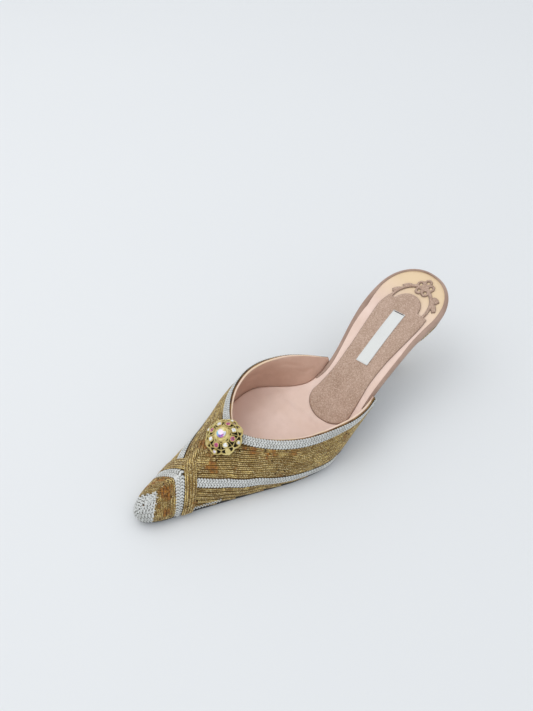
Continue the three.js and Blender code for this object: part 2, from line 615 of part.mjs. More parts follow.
function buildLabel() {
  const [c, s] = [Math.cos(LABEL.turn * deg), Math.sin(LABEL.turn * deg)];
  const corners = [[1, 1], [-1, 1], [-1, -1], [1, -1]].map(([i, j]) => {
    const [u, w] = [i * LABEL.width / 2, j * LABEL.length / 2];
    return new THREE.Vector2(LABEL.x + u * c - w * s, LABEL.y + u * s + w * c);
  });
  return shape(prism(corners).intersect(layer(GAP + SOCK_THICK + GAP, LABEL.thick)));
}

// Rosette and its stones
const domeRadius = (ROSETTE.radius ** 2 + ROSETTE.rise ** 2) / (2 * ROSETTE.rise);
const rosettePlace = new THREE.Matrix4().makeRotationX(-ROSETTE.tilt * deg)
  .setPosition(ROSETTE.x, ROSETTE.y, ROSETTE.z);
function domeZ(r) {
  return ROSETTE.rise - domeRadius + Math.sqrt(domeRadius ** 2 - r ** 2);
}
// Frame on the dome's skin at a distance from its middle and a bearing, its Z along the skin's normal
function onDome(ring, bearing) {
  const lean = Math.asin(ring / domeRadius);
  return new THREE.Matrix4().makeRotationZ(bearing * deg)
    .multiply(new THREE.Matrix4().makeTranslation(ring, 0, domeZ(ring)))
    .multiply(new THREE.Matrix4().makeRotationY(lean));
}
function lathe(profile, sides, place) {
  const points = profile.map(([r, z]) => new THREE.Vector2(r, z));
  return new THREE.LatheGeometry(points, sides).rotateX(Math.PI / 2).applyMatrix4(place);
}
const disc = (radius, low, high, sides, place) => solid(lathe([[0, low], [radius, low], [radius, high], [0, high]],
  sides, place));

function stoneProfile(radius, grow) {
  const r = radius + grow;
  return [[0, -0.5 * radius - grow], [r, 0.1 * radius], [0.6 * r, 0.5 * radius + grow], [0, 0.5 * radius + grow]];
}
const bearings = (count, start) => Array.from({ length: count }, (_, i) => start + 360 * i / count);
const STONES = [
  { name: 'stone_centre', radius: STONE_SIZES.centre, ring: 0, bearing: 0, seat: BEZEL.rise, sides: 10 },
  ...bearings(CUPS.count, CUPS.start).map((bearing, i) => ({
    name: `stone_inner_${i + 1}`, radius: STONE_SIZES.inner, ring: CUPS.ring, bearing, seat: CUPS.rise, sides: 6,
    pink: i % 2 === 0 })),
  ...bearings(LOOPS.stones, LOOPS.start).map((bearing, i) => ({
    name: `stone_outer_${i + 1}`, radius: STONE_SIZES.outer, ring: LOOPS.ring, bearing, seat: LOOPS.rise,
    sides: 6 })),
];
const stonePlace = (stone) => rosettePlace.clone().multiply(onDome(stone.ring, stone.bearing))
  .multiply(new THREE.Matrix4().makeTranslation(0, 0, stone.seat));
const buildStone = (stone, grow) => lathe(stoneProfile(stone.radius, grow), stone.sides, stonePlace(stone));

function buildOrnament() {
  const arc = (radius, drop) => Array.from({ length: 5 }, (_, i) => {
    const r = radius * i / 4;
    return [r, domeZ(r) - drop];
  });
  const rim = [[ROSETTE.radius - ROSETTE.wall, -RIM_DROP], [ROSETTE.radius, -RIM_DROP]];
  const hollow = [0, 2, 4].map((i) => arc(ROSETTE.radius - ROSETTE.wall, ROSETTE.wall)[i]);
  const profile = [...hollow, ...rim, ...arc(ROSETTE.radius, 0).reverse()];
  let rosette = solid(lathe(profile, ROSETTE.sides, rosettePlace));
  const add = (ring, bearing, radius, low, high, sides) => disc(radius, low, high, sides,
    rosettePlace.clone().multiply(onDome(ring, bearing)));
  for (const bearing of bearings(LOOPS.count, LOOPS.start)) {
    rosette = rosette.add(add(LOOPS.ring, bearing, LOOPS.radius, -CUP_DEPTH, LOOPS.rise, 8));
  }
  for (const bearing of bearings(CUPS.count, CUPS.start)) {
    rosette = rosette.add(add(CUPS.ring, bearing, CUPS.radius, -CUP_DEPTH, CUPS.rise, 6));
  }
  rosette = rosette.add(add(0, 0, BEZEL.radius, -CUP_DEPTH, BEZEL.rise, 12));
  const pierce = (ring, bearing) => add(ring, bearing, PIERCED.radius, -PIERCED.reach, PIERCED.reach, 4);
  for (const bearing of bearings(PIERCED.count, PIERCED.start)) {
    rosette = rosette.subtract(pierce(PIERCED.inner, bearing)).subtract(pierce(PIERCED.outer, bearing));
  }
  for (const stone of STONES) rosette = rosette.subtract(solid(buildStone(stone, GAP)));
  return shape(rosette.subtract(solid(upperShell(BAND_RISE + GAP, 1, 4))));
}

const parts = { footbed: buildFootbed(), outsole: buildOutsole(), upper: buildUpper(), heel: buildHeel(),
  heel_tip: buildHeelTip(), sock: buildSock(), label: buildLabel(), ornament: buildOrnament() };
for (const stone of STONES) parts[stone.name] = buildStone(stone, 0);

const FINISH = {
  outsole: { color: 0x1c1716, roughness: 0.55, metalness: 0 },
  footbed: { color: 0xe2c3b2, roughness: 0.6, metalness: 0 },
  upper: { color: 0xa8894a, roughness: 0.55, metalness: 0.25 },
  heel: { color: 0x9a7a3c, roughness: 0.55, metalness: 0.25 },
  heel_tip: { color: 0x3a2018, roughness: 0.5, metalness: 0 },
  sock: { color: 0xbba092, roughness: 0.95, metalness: 0 },
  label: { color: 0xe1e7e6, roughness: 0.7, metalness: 0 },
  ornament: { color: 0xd9c98a, roughness: 0.35, metalness: 0.8 },
};
for (const stone of STONES) {
  FINISH[stone.name] = { color: stone.pink ? 0xb8306e : 0xdfe8f4, roughness: 0.08, metalness: 0.1 };
}

const shoe = new THREE.Group();
shoe.position.set(-CENTRE.x, -CENTRE.y, 0);
for (const [name, geometry] of Object.entries(parts)) {
  const mesh = new THREE.Mesh(geometry, new THREE.MeshStandardMaterial(FINISH[name]));
  mesh.name = name;
  shoe.add(mesh);
}
const model = new THREE.Group();
model.add(shoe);
export default model;
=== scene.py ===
"""A left pointed-toe mule on a slim kitten heel: corded and braided upper, wrapped footbed, suede sock with
a cut-out sprig, domed rosette with stones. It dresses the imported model, one operator a piece, and is run as
a script. Sizes are in millimetres in the shoe's own frame: heel at y 0, toe at +Y, medial side at +X, floor
at z 0."""

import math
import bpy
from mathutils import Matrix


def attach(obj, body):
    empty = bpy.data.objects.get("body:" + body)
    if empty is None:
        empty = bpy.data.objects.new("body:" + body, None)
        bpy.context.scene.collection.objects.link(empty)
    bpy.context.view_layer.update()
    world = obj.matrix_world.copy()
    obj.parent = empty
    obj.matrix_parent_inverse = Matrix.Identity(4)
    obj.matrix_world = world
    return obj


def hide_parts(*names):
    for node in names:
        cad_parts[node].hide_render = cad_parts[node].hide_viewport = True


bl_info = {
    "name": "Corded mule",
    "version": (1, 0, 0),
    "blender": (4, 5, 0),
    "location": "View3D > Sidebar > Mule",
    "description": "Builds a corded and braided kitten-heel mule round its packed model",
    "category": "Object",
}

import bmesh
import bpy
import numpy as np
from bpy.props import FloatProperty, FloatVectorProperty, IntProperty, PointerProperty
from mathutils import Matrix, Vector

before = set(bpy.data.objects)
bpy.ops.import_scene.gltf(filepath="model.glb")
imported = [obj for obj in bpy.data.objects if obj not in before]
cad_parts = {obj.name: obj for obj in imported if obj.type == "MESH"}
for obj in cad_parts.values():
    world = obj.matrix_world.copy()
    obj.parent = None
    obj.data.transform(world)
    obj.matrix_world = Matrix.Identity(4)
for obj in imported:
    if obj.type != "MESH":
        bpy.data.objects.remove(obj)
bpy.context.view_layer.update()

# Sizes shared with the model
MM = 0.001
CENTRE = (2.6, 128.7)
GAP = 0.3
WALL = 2.2
FOOTBED_END = 254.6
FOOTBED_THICK = 3.0
OUTSOLE_THICK = 2.1
HEEL_ROUND = 30.0
TOE_ROUND = 13.4
# How far the dark outsole stands out past the upper: partly the sole's own edge, partly painted shadow, its
# dark edge also standing for the contact shadow under the upper.
SOLE_SHOWS = 0.35
WAIST_INSET = 1.0
SOLE_WIDENS = (84, 112)
BREAST_Y = 44.5
TIP_HEIGHT = 4.7
MEDIAL_SIDE, LATERAL_SIDE = 1, -1


def rows(columns, *values):
    """A table of named columns, one dict a row."""
    names = columns.split()
    return [dict(zip(names, row)) for row in values]


PROFILE = rows("y z",
    (0, 64.7), (25, 55.3), (50, 47.2), (80, 34.6), (110, 17.2), (128, 10.6), (146, 6.8), (168, 5.4),
    (206, 5.4), (232, 6.6), (256, 9.0))
OUTLINE = rows("y medial lateral",
    (0, 29.8, -24.4), (14, 29.9, -24.5), (30, 29.3, -24.5), (45, 27.2, -24.6), (60, 22.8, -25.9),
    (80, 15.4, -28.1), (95, 12.0, -30.0), (105, 12.6, -31.2), (113, 16.2, -32.4), (120, 22.6, -33.8),
    (127, 30.4, -35.3), (134, 37.2, -36.4), (141, 40.8, -36.5), (149, 41.6, -34.9), (158, 40.2, -32.4),
    (168, 37.3, -29.0), (180, 32.9, -24.1), (200, 27.1, -16.2), (220, 22.0, -8.7), (240, 17.1, -2.3),
    (256, 13.0, 1.2))
RIDGE = rows("x y z",
    (4.8, 184.8, 34.2), (5.4, 198.5, 30.4), (6.0, 211.5, 26.3), (6.4, 225.0, 22.0), (6.6, 236.2, 18.7),
    (6.6, 243.8, 16.9), (6.5, 248.2, 15.8))
SECTION_COLUMNS = "foot x y z out over turn"
MEDIAL = rows(SECTION_COLUMNS,
    (90, 15.2, 90.2, 29.6, 12, -30, -8), (98, 20.2, 97.0, 31.0, 20, -36, -8),
    (106, 26.2, 105.4, 32.8, 28, -34, -10), (115, 31.6, 114.2, 34.1, 30, -22, -12),
    (124, 35.4, 123.8, 34.9, 24, -8, -10), (134, 37.8, 133.8, 35.3, 16, 6, -5),
    (146, 37.8, 144.8, 35.2, 12, 18, 0), (158, 34.4, 155.6, 34.6, 10, 30, 6),
    (170, 28.2, 165.6, 34.0, 9, 42, 10), (182, 18.6, 174.8, 33.7, 8, 56, 12), (193, 0, 0, 0, 8, 70, 12),
    (205, 0, 0, 0, 8, 74, 12), (217, 0, 0, 0, 9, 74, 13), (230, 0, 0, 0, 10, 74, 15),
    (241, 0, 0, 0, 13, 74, 24), (250.5, 0, 0, 0, 17, 74, 50), (FOOTBED_END, 0, 0, 0, 20, 74, 90))
LATERAL = rows(SECTION_COLUMNS,
    (91, -31.8, 90.6, 29.6, 4, -6, 0), (98, -34.2, 97.4, 30.2, 10, -14, 0),
    (107, -36.4, 106.4, 31.4, 14, -10, 0), (117, -37.0, 116.4, 32.5, 14, 0, 2),
    (128, -35.4, 127.4, 33.0, 12, 10, 6), (139, -32.6, 138.2, 32.8, 11, 20, 12),
    (150, -28.6, 148.6, 32.3, 10, 28, 16), (161, -23.0, 158.2, 32.1, 9, 38, 18),
    (172, -15.8, 167.2, 32.3, 8, 48, 19), (183, -6.6, 176.0, 33.1, 8, 60, 19), (193, 0, 0, 0, 8, 70, 19),
    (205, 0, 0, 0, 8, 74, 19), (217, 0, 0, 0, 9, 74, 18), (230, 0, 0, 0, 10, 74, 18),
    (241, 0, 0, 0, 13, 74, 24), (250.5, 0, 0, 0, 17, 74, 50), (FOOTBED_END, 0, 0, 0, 20, 74, 90))
TOE = len(MEDIAL) - 1
APEX = len(MEDIAL) - len(RIDGE)
SIDE_HANDLE, TOP_HANDLE, CROWN_HANDLE = 0.48, 0.45, 0.56
FAN_START, FAN_RATE = 9.2, 2.7
CROSSING = {"rear": (11.98, 12.75), "front": (12.6, 13.3)}
SILVER_CHEVRON = {"rear": (12.66, 13.36), "front": (13.2, 13.72)}
GOLD_CHEVRON = {"rear": (13.28, 13.8), "front": (14.62, 14.9)}
HEEL = rows("z back front x half slope square",
    (None, 2.2, 44.0, 1.4, 25.6, 1.0, 0.32), (44.6, 7.2, 44.3, 1.2, 23.6, 0.95, 0.36),
    (38.5, 15.6, 44.4, 0.8, 17.6, 0.8, 0.45), (32.0, 23.6, 44.2, 0.2, 11.4, 0.55, 0.55),
    (25.0, 30.0, 44.0, -0.4, 7.0, 0.3, 0.65), (17.0, 34.0, 44.1, -0.8, 5.0, 0.12, 0.7),
    (10.0, 35.9, 44.4, -1.0, 4.3, 0, 0.7), (TIP_HEIGHT + GAP, 36.6, 44.8, -1.0, 4.1, 0, 0.7))
SOCK = rows("y medial lateral",
    (30, 16.8, -18.0), (42, 17.3, -19.6), (54, 14.3, -20.0), (68, 10.8, -20.2), (80, 8.3, -21.2),
    (90, 6.7, -22.7), (100, 6.5, -25.2), (110, 7.2, -27.6))
SOCK_FRONT = 122.3
DOME = {"x": 1.2, "y": 31.7, "radius": 11.2}
VINE = {"x": 0.6, "y": 29.0, "rx": 13.6, "ry": 15.4, "width": 2.2}
FLOWER = {
    "x": 0.9, "y": 12.0, "petals": 5, "start": -10, "reach": 4.2, "petal": 2.9, "hole": 1.15, "eye": 2.4}
LEAVES = rows("x y way length width notch",
    (12.2, 17.4, 44, 7.8, 3.6, 1.0), (16.0, 24.0, 49, 7.8, 3.4, 1.0), (15.8, 29.8, 57, 4.4, 1.8, 0),
    (-12.4, 15.4, 160, 6.8, 3.8, 0.9), (-15.5, 21.0, 133, 7.8, 3.4, 1.0), (-12.1, 18.8, 118, 8.4, 3.2, 0))
LABEL = {"width": 9.1, "length": 43.0, "x": -3.6, "y": 58.9, "turn": 9.6}
ROSETTE = {"x": 4.4, "y": 190.0, "z": 33.9, "tilt": 17, "radius": 12.2, "rise": 5.6}
CUP_RING, LOOP_RING = 7.3, 10.9


# The last
def akima(table, key, at):
    """Smooth value of a named column at y."""
    n = len(table)

    def slope(i):
        if i < 0:
            return 2 * slope(i + 1) - slope(i + 2)
        if i > n - 2:
            return 2 * slope(i - 1) - slope(i - 2)
        return (table[i + 1][key] - table[i][key]) / (table[i + 1]["y"] - table[i]["y"])

    def tangent(i):
        before = abs(slope(i - 1) - slope(i - 2))
        after = abs(slope(i + 1) - slope(i))
        total = before + after
        if total < 1e-9:
            return (slope(i - 1) + slope(i)) / 2
        return (after * slope(i - 1) + before * slope(i)) / total

    i = 0
    while i < n - 2 and at > table[i + 1]["y"]:
        i += 1
    h = table[i + 1]["y"] - table[i]["y"]
    t = (at - table[i]["y"]) / h
    a, b = table[i][key], table[i + 1][key]
    p, q = tangent(i) * h, tangent(i + 1) * h
    return a + t * (p + t * (3 * (b - a) - 2 * p - q + t * (p + q - 2 * (b - a))))


def along(table, key, at):
    """Smooth value of a named column at a row number that may lie between rows."""
    i = max(0, min(int(math.floor(at)), len(table) - 2))
    t = at - i
    p1, p2 = table[i][key], table[i + 1][key]
    p0 = table[i - 1][key] if i > 0 else 2 * p1 - p2
    p3 = table[i + 2][key] if i < len(table) - 2 else 2 * p2 - p1
    square, cube = 2 * p0 - 5 * p1 + 4 * p2 - p3, 3 * (p1 - p2) + p3 - p0
    return 0.5 * (2 * p1 + t * (p2 - p0 + t * (square + t * cube)))


PROFILE_STEP = 0.25
_profile_y = np.arange(-12, 270, PROFILE_STEP)
_profile_z = np.array([akima(PROFILE, "z", y) for y in _profile_y])
_edge_medial = np.array([akima(OUTLINE, "medial", y) for y in _profile_y])
_edge_lateral = np.array([akima(OUTLINE, "lateral", y) for y in _profile_y])


def top_z(y):
    """Height of the footbed's top."""
    return np.interp(y, _profile_y, _profile_z)


def steep(y):
    """How much longer the sloping footbed is than its plan."""
    return np.hypot(1, top_z(np.asarray(y) + 0.5) - top_z(np.asarray(y) - 0.5))


def footbed_under(y):
    return top_z(y) - FOOTBED_THICK * steep(y)


def outsole_top(y):
    return footbed_under(y) - GAP * steep(y)


def outsole_under(y):
    return np.maximum(0, outsole_top(y) - OUTSOLE_THICK * steep(y))


def edge_theta(y):
    return math.acos(max(-1.0, min(1.0, 1 - 2 * y / FOOTBED_END)))


def edge_raw(side, theta):
    """Point of the footbed's edge: theta is 0 at the back of the heel and pi at the tip of the toe."""
    y = FOOTBED_END * (1 - math.cos(theta)) / 2
    medial, lateral = np.interp(y, _profile_y, _edge_medial), np.interp(y, _profile_y, _edge_lateral)
    rounding = 1.0
    if y < HEEL_ROUND:
        rounding = max(0.0, 1 - ((HEEL_ROUND - y) / HEEL_ROUND) ** 2.2) ** (1 / 2.2)
    elif y > FOOTBED_END - TOE_ROUND:
        rounding = max(0.0, 1 - ((y - FOOTBED_END + TOE_ROUND) / TOE_ROUND) ** 2) ** 0.5
    return np.array([(medial + lateral) / 2 + side * (medial - lateral) / 2 * rounding, y])


def edge(side, theta, offset):
    """The same point moved outwards by offset."""
    here = edge_raw(side, theta)
    if theta < 1e-6 or theta > math.pi - 1e-6:
        return here + np.array([0, offset if theta > 1 else -offset])
    tangent = edge_raw(side, min(math.pi, theta + 0.004)) - edge_raw(side, max(0, theta - 0.004))
    tangent /= np.linalg.norm(tangent)
    return here + offset * side * np.array([tangent[1], -tangent[0]])


def unit(vectors):
    length = np.linalg.norm(vectors, axis=-1, keepdims=True)
    return vectors / np.where(length > 1e-9, length, 1)


STEPS_ALONG, STEPS_UP = 20, 60


class Wall:
    """One side of the upper as a grid: section number along it, height up it."""

    def __init__(self, side):
        self.side = side
        self.table = MEDIAL if side > 0 else LATERAL
        for i, row in enumerate(self.table):
            if i >= APEX:
                row.update(RIDGE[i - APEX])
            row["theta"] = edge_theta(row["foot"])
        self.s = np.linspace(0, TOE, TOE * STEPS_ALONG + 1)
        self.v = np.linspace(0, 1, STEPS_UP + 1)
        v = self.v[:, None]
        weights = [(1 - v) ** 3, 3 * v * (1 - v) ** 2, 3 * v * v * (1 - v), v ** 3]
        self.place = np.array([sum(w * p for w, p in zip(weights, self.handles(s))) for s in self.s])
        across, up = np.gradient(self.place, axis=0), np.gradient(self.place, axis=1)
        self.normal = unit(np.cross(across, up) * side)
        line = list(self.place[:APEX * STEPS_ALONG + 1:5, -1])
        way = unit(line[-1] - line[-4])
        line += [line[-1] + way * reach for reach in range(2, 41, 2)]
        a, b = np.array(line[:-1]), np.array(line[1:])
        flat = self.place.reshape(-1, 1, 3)
        t = np.clip(np.sum((flat - a) * (b - a), -1) / np.sum((b - a) ** 2, -1), 0, 1)
        gaps = np.linalg.norm(flat - a - t[..., None] * (b - a), axis=-1)
        self.below = gaps.min(1).reshape(self.place.shape[:2])
        self.fanned = self.below - FAN_RATE * np.maximum(0, self.s - FAN_START)[:, None]

    def handles(self, s):
        """The four points of a section's curve, from the foot to the top."""
        get = lambda key: along(self.table, key, s)
        turn = math.radians(get("turn"))
        face = np.array([self.side * math.cos(turn), math.sin(turn), 0])
        plan = edge(self.side, min(math.pi, get("theta")), GAP + WALL)
        foot = np.array([*plan, outsole_top(min(plan[1], FOOTBED_END)) + GAP])
        source, at = (RIDGE, s - APEX) if s > APEX else (self.table, s)
        top = np.array([along(source, key, at) for key in "xyz"])
        rise = max(top[2] - foot[2], 1)
        reach = abs(np.dot(top - foot, face))
        tilt = lambda angle, sign: face * sign * math.sin(angle) + np.array([0, 0, math.cos(angle)])
        out, over = math.radians(get("out")), math.radians(get("over"))
        span = abs(math.cos(over)) * rise * TOP_HANDLE + abs(math.sin(over)) * reach * CROWN_HANDLE
        return foot, foot + tilt(out, 1) * SIDE_HANDLE * rise, top - tilt(over, -1) * span, top

    def at(self, grid, s, v):
        """Value of a grid between its lines."""
        i = np.clip(np.asarray(s, float) * STEPS_ALONG, 0, len(self.s) - 1.001)
        j = np.clip(np.asarray(v, float) * STEPS_UP, 0, len(self.v) - 1.001)
        i0, j0 = i.astype(int), j.astype(int)
        a, b = i - i0, j - j0
        if grid.ndim == 3:
            a, b = a[..., None], b[..., None]
        return ((1 - a) * (1 - b) * grid[i0, j0] + a * (1 - b) * grid[i0 + 1, j0]
                + (1 - a) * b * grid[i0, j0 + 1] + a * b * grid[i0 + 1, j0 + 1])

    def row(self, distance, fanned=True):
        """Places (s, v) of the line at this distance below the topline, from the rear to the ridge."""
        field = self.fanned if fanned else self.below
        found = []
        for i in range(len(self.s)):
            column = field[i]
            if column[-1] > distance:
                if found:
                    a, b = field[i - 1, -1], column[-1]
                    t = (distance - a) / (b - a) if b > a else 1
                    found.append((self.s[i - 1] + t * (self.s[i] - self.s[i - 1]), 1.0))
                    break
                continue
            if column[0] < distance:
                continue
            j = int(np.argmax(column < distance))
            t = (column[j - 1] - distance) / (column[j - 1] - column[j]) if j else 0
            found.append((self.s[i], (j - 1 + t) / STEPS_UP if j else 0.0))
        return np.array(found)


MEDIAL_WALL, LATERAL_WALL = Wall(MEDIAL_SIDE), Wall(LATERAL_SIDE)
WALLS = (MEDIAL_WALL, LATERAL_WALL)
for _i in range(APEX * STEPS_ALONG, TOE * STEPS_ALONG + 1):
    _shared = unit(MEDIAL_WALL.normal[_i, -1] + LATERAL_WALL.normal[_i, -1])
    MEDIAL_WALL.normal[_i, -1] = LATERAL_WALL.normal[_i, -1] = _shared
_shared = unit(MEDIAL_WALL.normal[-1] + LATERAL_WALL.normal[-1])
MEDIAL_WALL.normal[-1], LATERAL_WALL.normal[-1] = _shared, _shared


# Meshes
def to_scene(points):
    """Shoe frame in millimetres to the model's frame in metres."""
    return (np.asarray(points, float) - np.array([*CENTRE, 0])) * MM


def piece(name, points, faces, material, edges=(), smooth=True, attributes=None, merge=0.0):
    """An object at the origin with its place in its mesh. points are in the shoe frame."""
    mesh = bpy.data.meshes.new(name)
    mesh.from_pydata(to_scene(points).tolist(), [list(e) for e in edges], [list(f) for f in faces])
    for key, values in (attributes or {}).items():
        values = np.asarray(values, np.float32)
        kind = "FLOAT_VECTOR" if values.ndim == 2 else "FLOAT"
        layer = mesh.attributes.new(key, kind, "POINT")
        layer.data.foreach_set("vector" if values.ndim == 2 else "value", values.ravel())
    if merge:
        work = bmesh.new()
        work.from_mesh(mesh)
        bmesh.ops.remove_doubles(work, verts=work.verts, dist=merge * MM)
        bmesh.ops.dissolve_degenerate(work, edges=work.edges, dist=1e-7)
        work.to_mesh(mesh)
        work.free()
    if faces:
        mesh.polygons.foreach_set("use_smooth", [smooth] * len(mesh.polygons))
    mesh.update()
    if material:
        mesh.materials.append(material)
    made = bpy.data.objects.new(name, mesh)
    bpy.context.scene.collection.objects.link(made)
    return made


def face_outwards(made):
    """Turns a closed piece's faces outwards."""
    work = bmesh.new()
    work.from_mesh(made.data)
    bmesh.ops.recalc_face_normals(work, faces=work.faces)
    if work.calc_volume(signed=True) < 0:
        bmesh.ops.reverse_faces(work, faces=work.faces)
    work.to_mesh(made.data)
    work.free()
    return made


def dress(made, slot, *nodes):
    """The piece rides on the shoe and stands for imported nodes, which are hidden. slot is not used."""
    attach(made, "root")
    if nodes:
        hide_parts(*nodes)
    return made


def loft(rings, caps=True):
    """Points and faces of a tube through rings of points."""
    rings = [np.asarray(r, float) for r in rings]
    count = len(rings[0])
    points = [p for ring in rings for p in ring]
    faces = []
    for i in range(len(rings) - 1):
        for j in range(count):
            k = (j + 1) % count
            faces.append((i * count + j, i * count + k, (i + 1) * count + k, (i + 1) * count + j))
    if caps:
        faces.append(tuple(reversed(range(count))))
        faces.append(tuple(range((len(rings) - 1) * count, len(rings) * count)))
    return points, faces


def cut_sheet(field, box, cell):
    """Plan of the region where field is positive, as points and faces with an edge on the zero line."""
    x0, x1, y0, y1 = box
    xs, ys = np.arange(x0, x1 + cell, cell), np.arange(y0, y1 + cell, cell)
    grid_x, grid_y = np.meshgrid(xs, ys, indexing="ij")
    depth = field(grid_x, grid_y)
    points, known, faces = [], {}, []

    def corner(a):
        if a not in known:
            known[a] = len(points)
            points.append((xs[a[0]], ys[a[1]]))
        return known[a]

    def crossing(a, b):
        key = (min(a, b), max(a, b))
        if key not in known:
            known[key] = len(points)
            t = min(0.93, max(0.07, depth[a] / (depth[a] - depth[b])))
            points.append((xs[a[0]] + t * (xs[b[0]] - xs[a[0]]), ys[a[1]] + t * (ys[b[1]] - ys[a[1]])))
        return known[key]

    inside = depth > 0
    for i in range(len(xs) - 1):
        for j in range(len(ys) - 1):
            ring = [(i, j), (i + 1, j), (i + 1, j + 1), (i, j + 1)]
            held = [bool(inside[a]) for a in ring]
            if not any(held):
                continue
            face = []
            for n in range(4):
                a, b = ring[n], ring[(n + 1) % 4]
                if held[n]:
                    face.append(corner(a))
                if held[n] != held[(n + 1) % 4]:
                    face.append(crossing(a, b) if held[n] else crossing(b, a))
            faces.append(face)
    return np.array(points), faces


def thick_sheet(name, plan, faces, over, under, material, attributes=None):
    """Closed solid between two sheets with the same plan. over and under are rows of 3-D points."""
    count = len(plan)
    used = dict.fromkeys((face[n], face[(n + 1) % len(face)]) for face in faces for n in range(len(face)))
    sides = [(b, a, a + count, b + count) for a, b in used if (b, a) not in used]
    solid_faces = list(faces) + [[i + count for i in reversed(face)] for face in faces] + sides
    both = {key: np.concatenate([values, values]) for key, values in (attributes or {}).items()}
    return piece(name, np.concatenate([over, under]), solid_faces, material, attributes=both)


def line_on(places, lift):
    """Points and outward directions of a row of places (wall, s, v) on the upper, lifted off it."""
    points, outward = [], []
    for wall, s, v in places:
        n = unit(wall.at(wall.normal, s, v))
        points.append(wall.at(wall.place, s, v) + n * lift)
        outward.append(n)
    return np.array(points), np.array(outward)


def on_wall(wall, places, lift):
    """The same for places (s, v) that all lie on one side."""
    return line_on([(wall, s, v) for s, v in places], lift)


def reach_along(line):
    """Distance from a line's start to each of its points."""
    return np.concatenate([[0], np.cumsum(np.linalg.norm(np.diff(line, axis=0), axis=1))])


def read_at(line, reach, at):
    """Points of a line at chosen distances along it."""
    return np.stack([np.interp(at, reach, line[:, k]) for k in range(3)], 1)


def resample(points, outward, step):
    """The same line with points a step apart."""
    reach = reach_along(points)
    count = max(3, int(reach[-1] / step) + 1)
    at = np.linspace(0, reach[-1], count)
    return read_at(points, reach, at), unit(read_at(outward, reach, at)), at


def soften(points, times):
    """Takes small kinks out of a line and keeps its ends."""
    points = points.copy()
    for _ in range(times):
        points[1:-1] = (points[:-2] + 2 * points[1:-1] + points[2:]) / 4
    return points


class Guides:
    """Lines that cords and braids follow, gathered into one mesh of edges."""

    def __init__(self):
        self.points, self.edges = [], []
        self.values = {"across": [], "out": [], "reach": [], "size": [], "worn": []}

    def add(self, points, outward, step=0.8, size=1.0, smooth=2):
        points, outward, reach = resample(np.asarray(points), np.asarray(outward), step)
        points = soften(points, smooth)
        tangent = unit(np.gradient(points, axis=0))
        across = unit(np.cross(outward, tangent))
        outward = unit(np.cross(tangent, across))
        first = len(self.points)
        self.points += list(points)
        self.edges += [(first + i, first + i + 1) for i in range(len(points) - 1)]
        sizes = np.atleast_1d(size)
        sizes = np.interp(np.linspace(0, 1, len(points)), np.linspace(0, 1, len(sizes)), sizes)
        for key, rows_ in (("across", across), ("out", outward), ("reach", reach + 7.3 * first),
                           ("size", sizes), ("worn", worn_at(points))):
            self.values[key] += list(rows_)

    def build(self, name):
        return piece(name, self.points, (), None, edges=self.edges,
                     attributes={k: np.array(v) for k, v in self.values.items()})


# Where the cords are rubbed down to their rust-brown core
WORN_SPOTS = rows("x y z radius strength",
    (-3.0, 206.0, 24.5, 4.0, 1.0), (2.0, 201.0, 28.0, 4.0, 0.7), (12.0, 201.0, 27.0, 5.0, 0.7),
    (-17.0, 172.5, 27.0, 6.5, 0.7), (-10.0, 181.0, 29.0, 5.0, 0.8), (-25.5, 160.0, 25.5, 5.5, 0.5),
    (-28.0, 172.0, 12.0, 5.5, 0.4), (-9.0, 226.0, 8.5, 3.5, 0.6), (4.0, 236.5, 18.0, 4.5, 1.0),
    (12.0, 232.0, 17.5, 4.5, 0.8), (14.5, 238.0, 13.0, 4.0, 0.8), (-2.5, 242.0, 10.0, 4.5, 0.8),
    (-5.0, 236.0, 11.0, 3.0, 0.5), (21.0, 208.0, 20.0, 4.0, 0.6), (30.5, 190.0, 16.0, 5.5, 0.5),
    (-38.5, 122.0, 22.0, 5.0, 0.4), (36.5, 150.0, 24.0, 6.0, 0.4))


def worn_at(points):
    """How worn the cords are at each point, from 0 to 1."""
    worn = np.zeros(len(points))
    for spot in WORN_SPOTS:
        away = np.linalg.norm(points - np.array([spot["x"], spot["y"], spot["z"]]), axis=1)
        worn = np.maximum(worn, spot["strength"] * np.clip(1.6 - away / spot["radius"], 0, 1))
    return worn


# Nodes
FLOAT, VECTOR, WHOLE = "NodeSocketFloat", "NodeSocketVector", "NodeSocketInt"
GEOMETRY, MATERIAL = "NodeSocketGeometry", "NodeSocketMaterial"


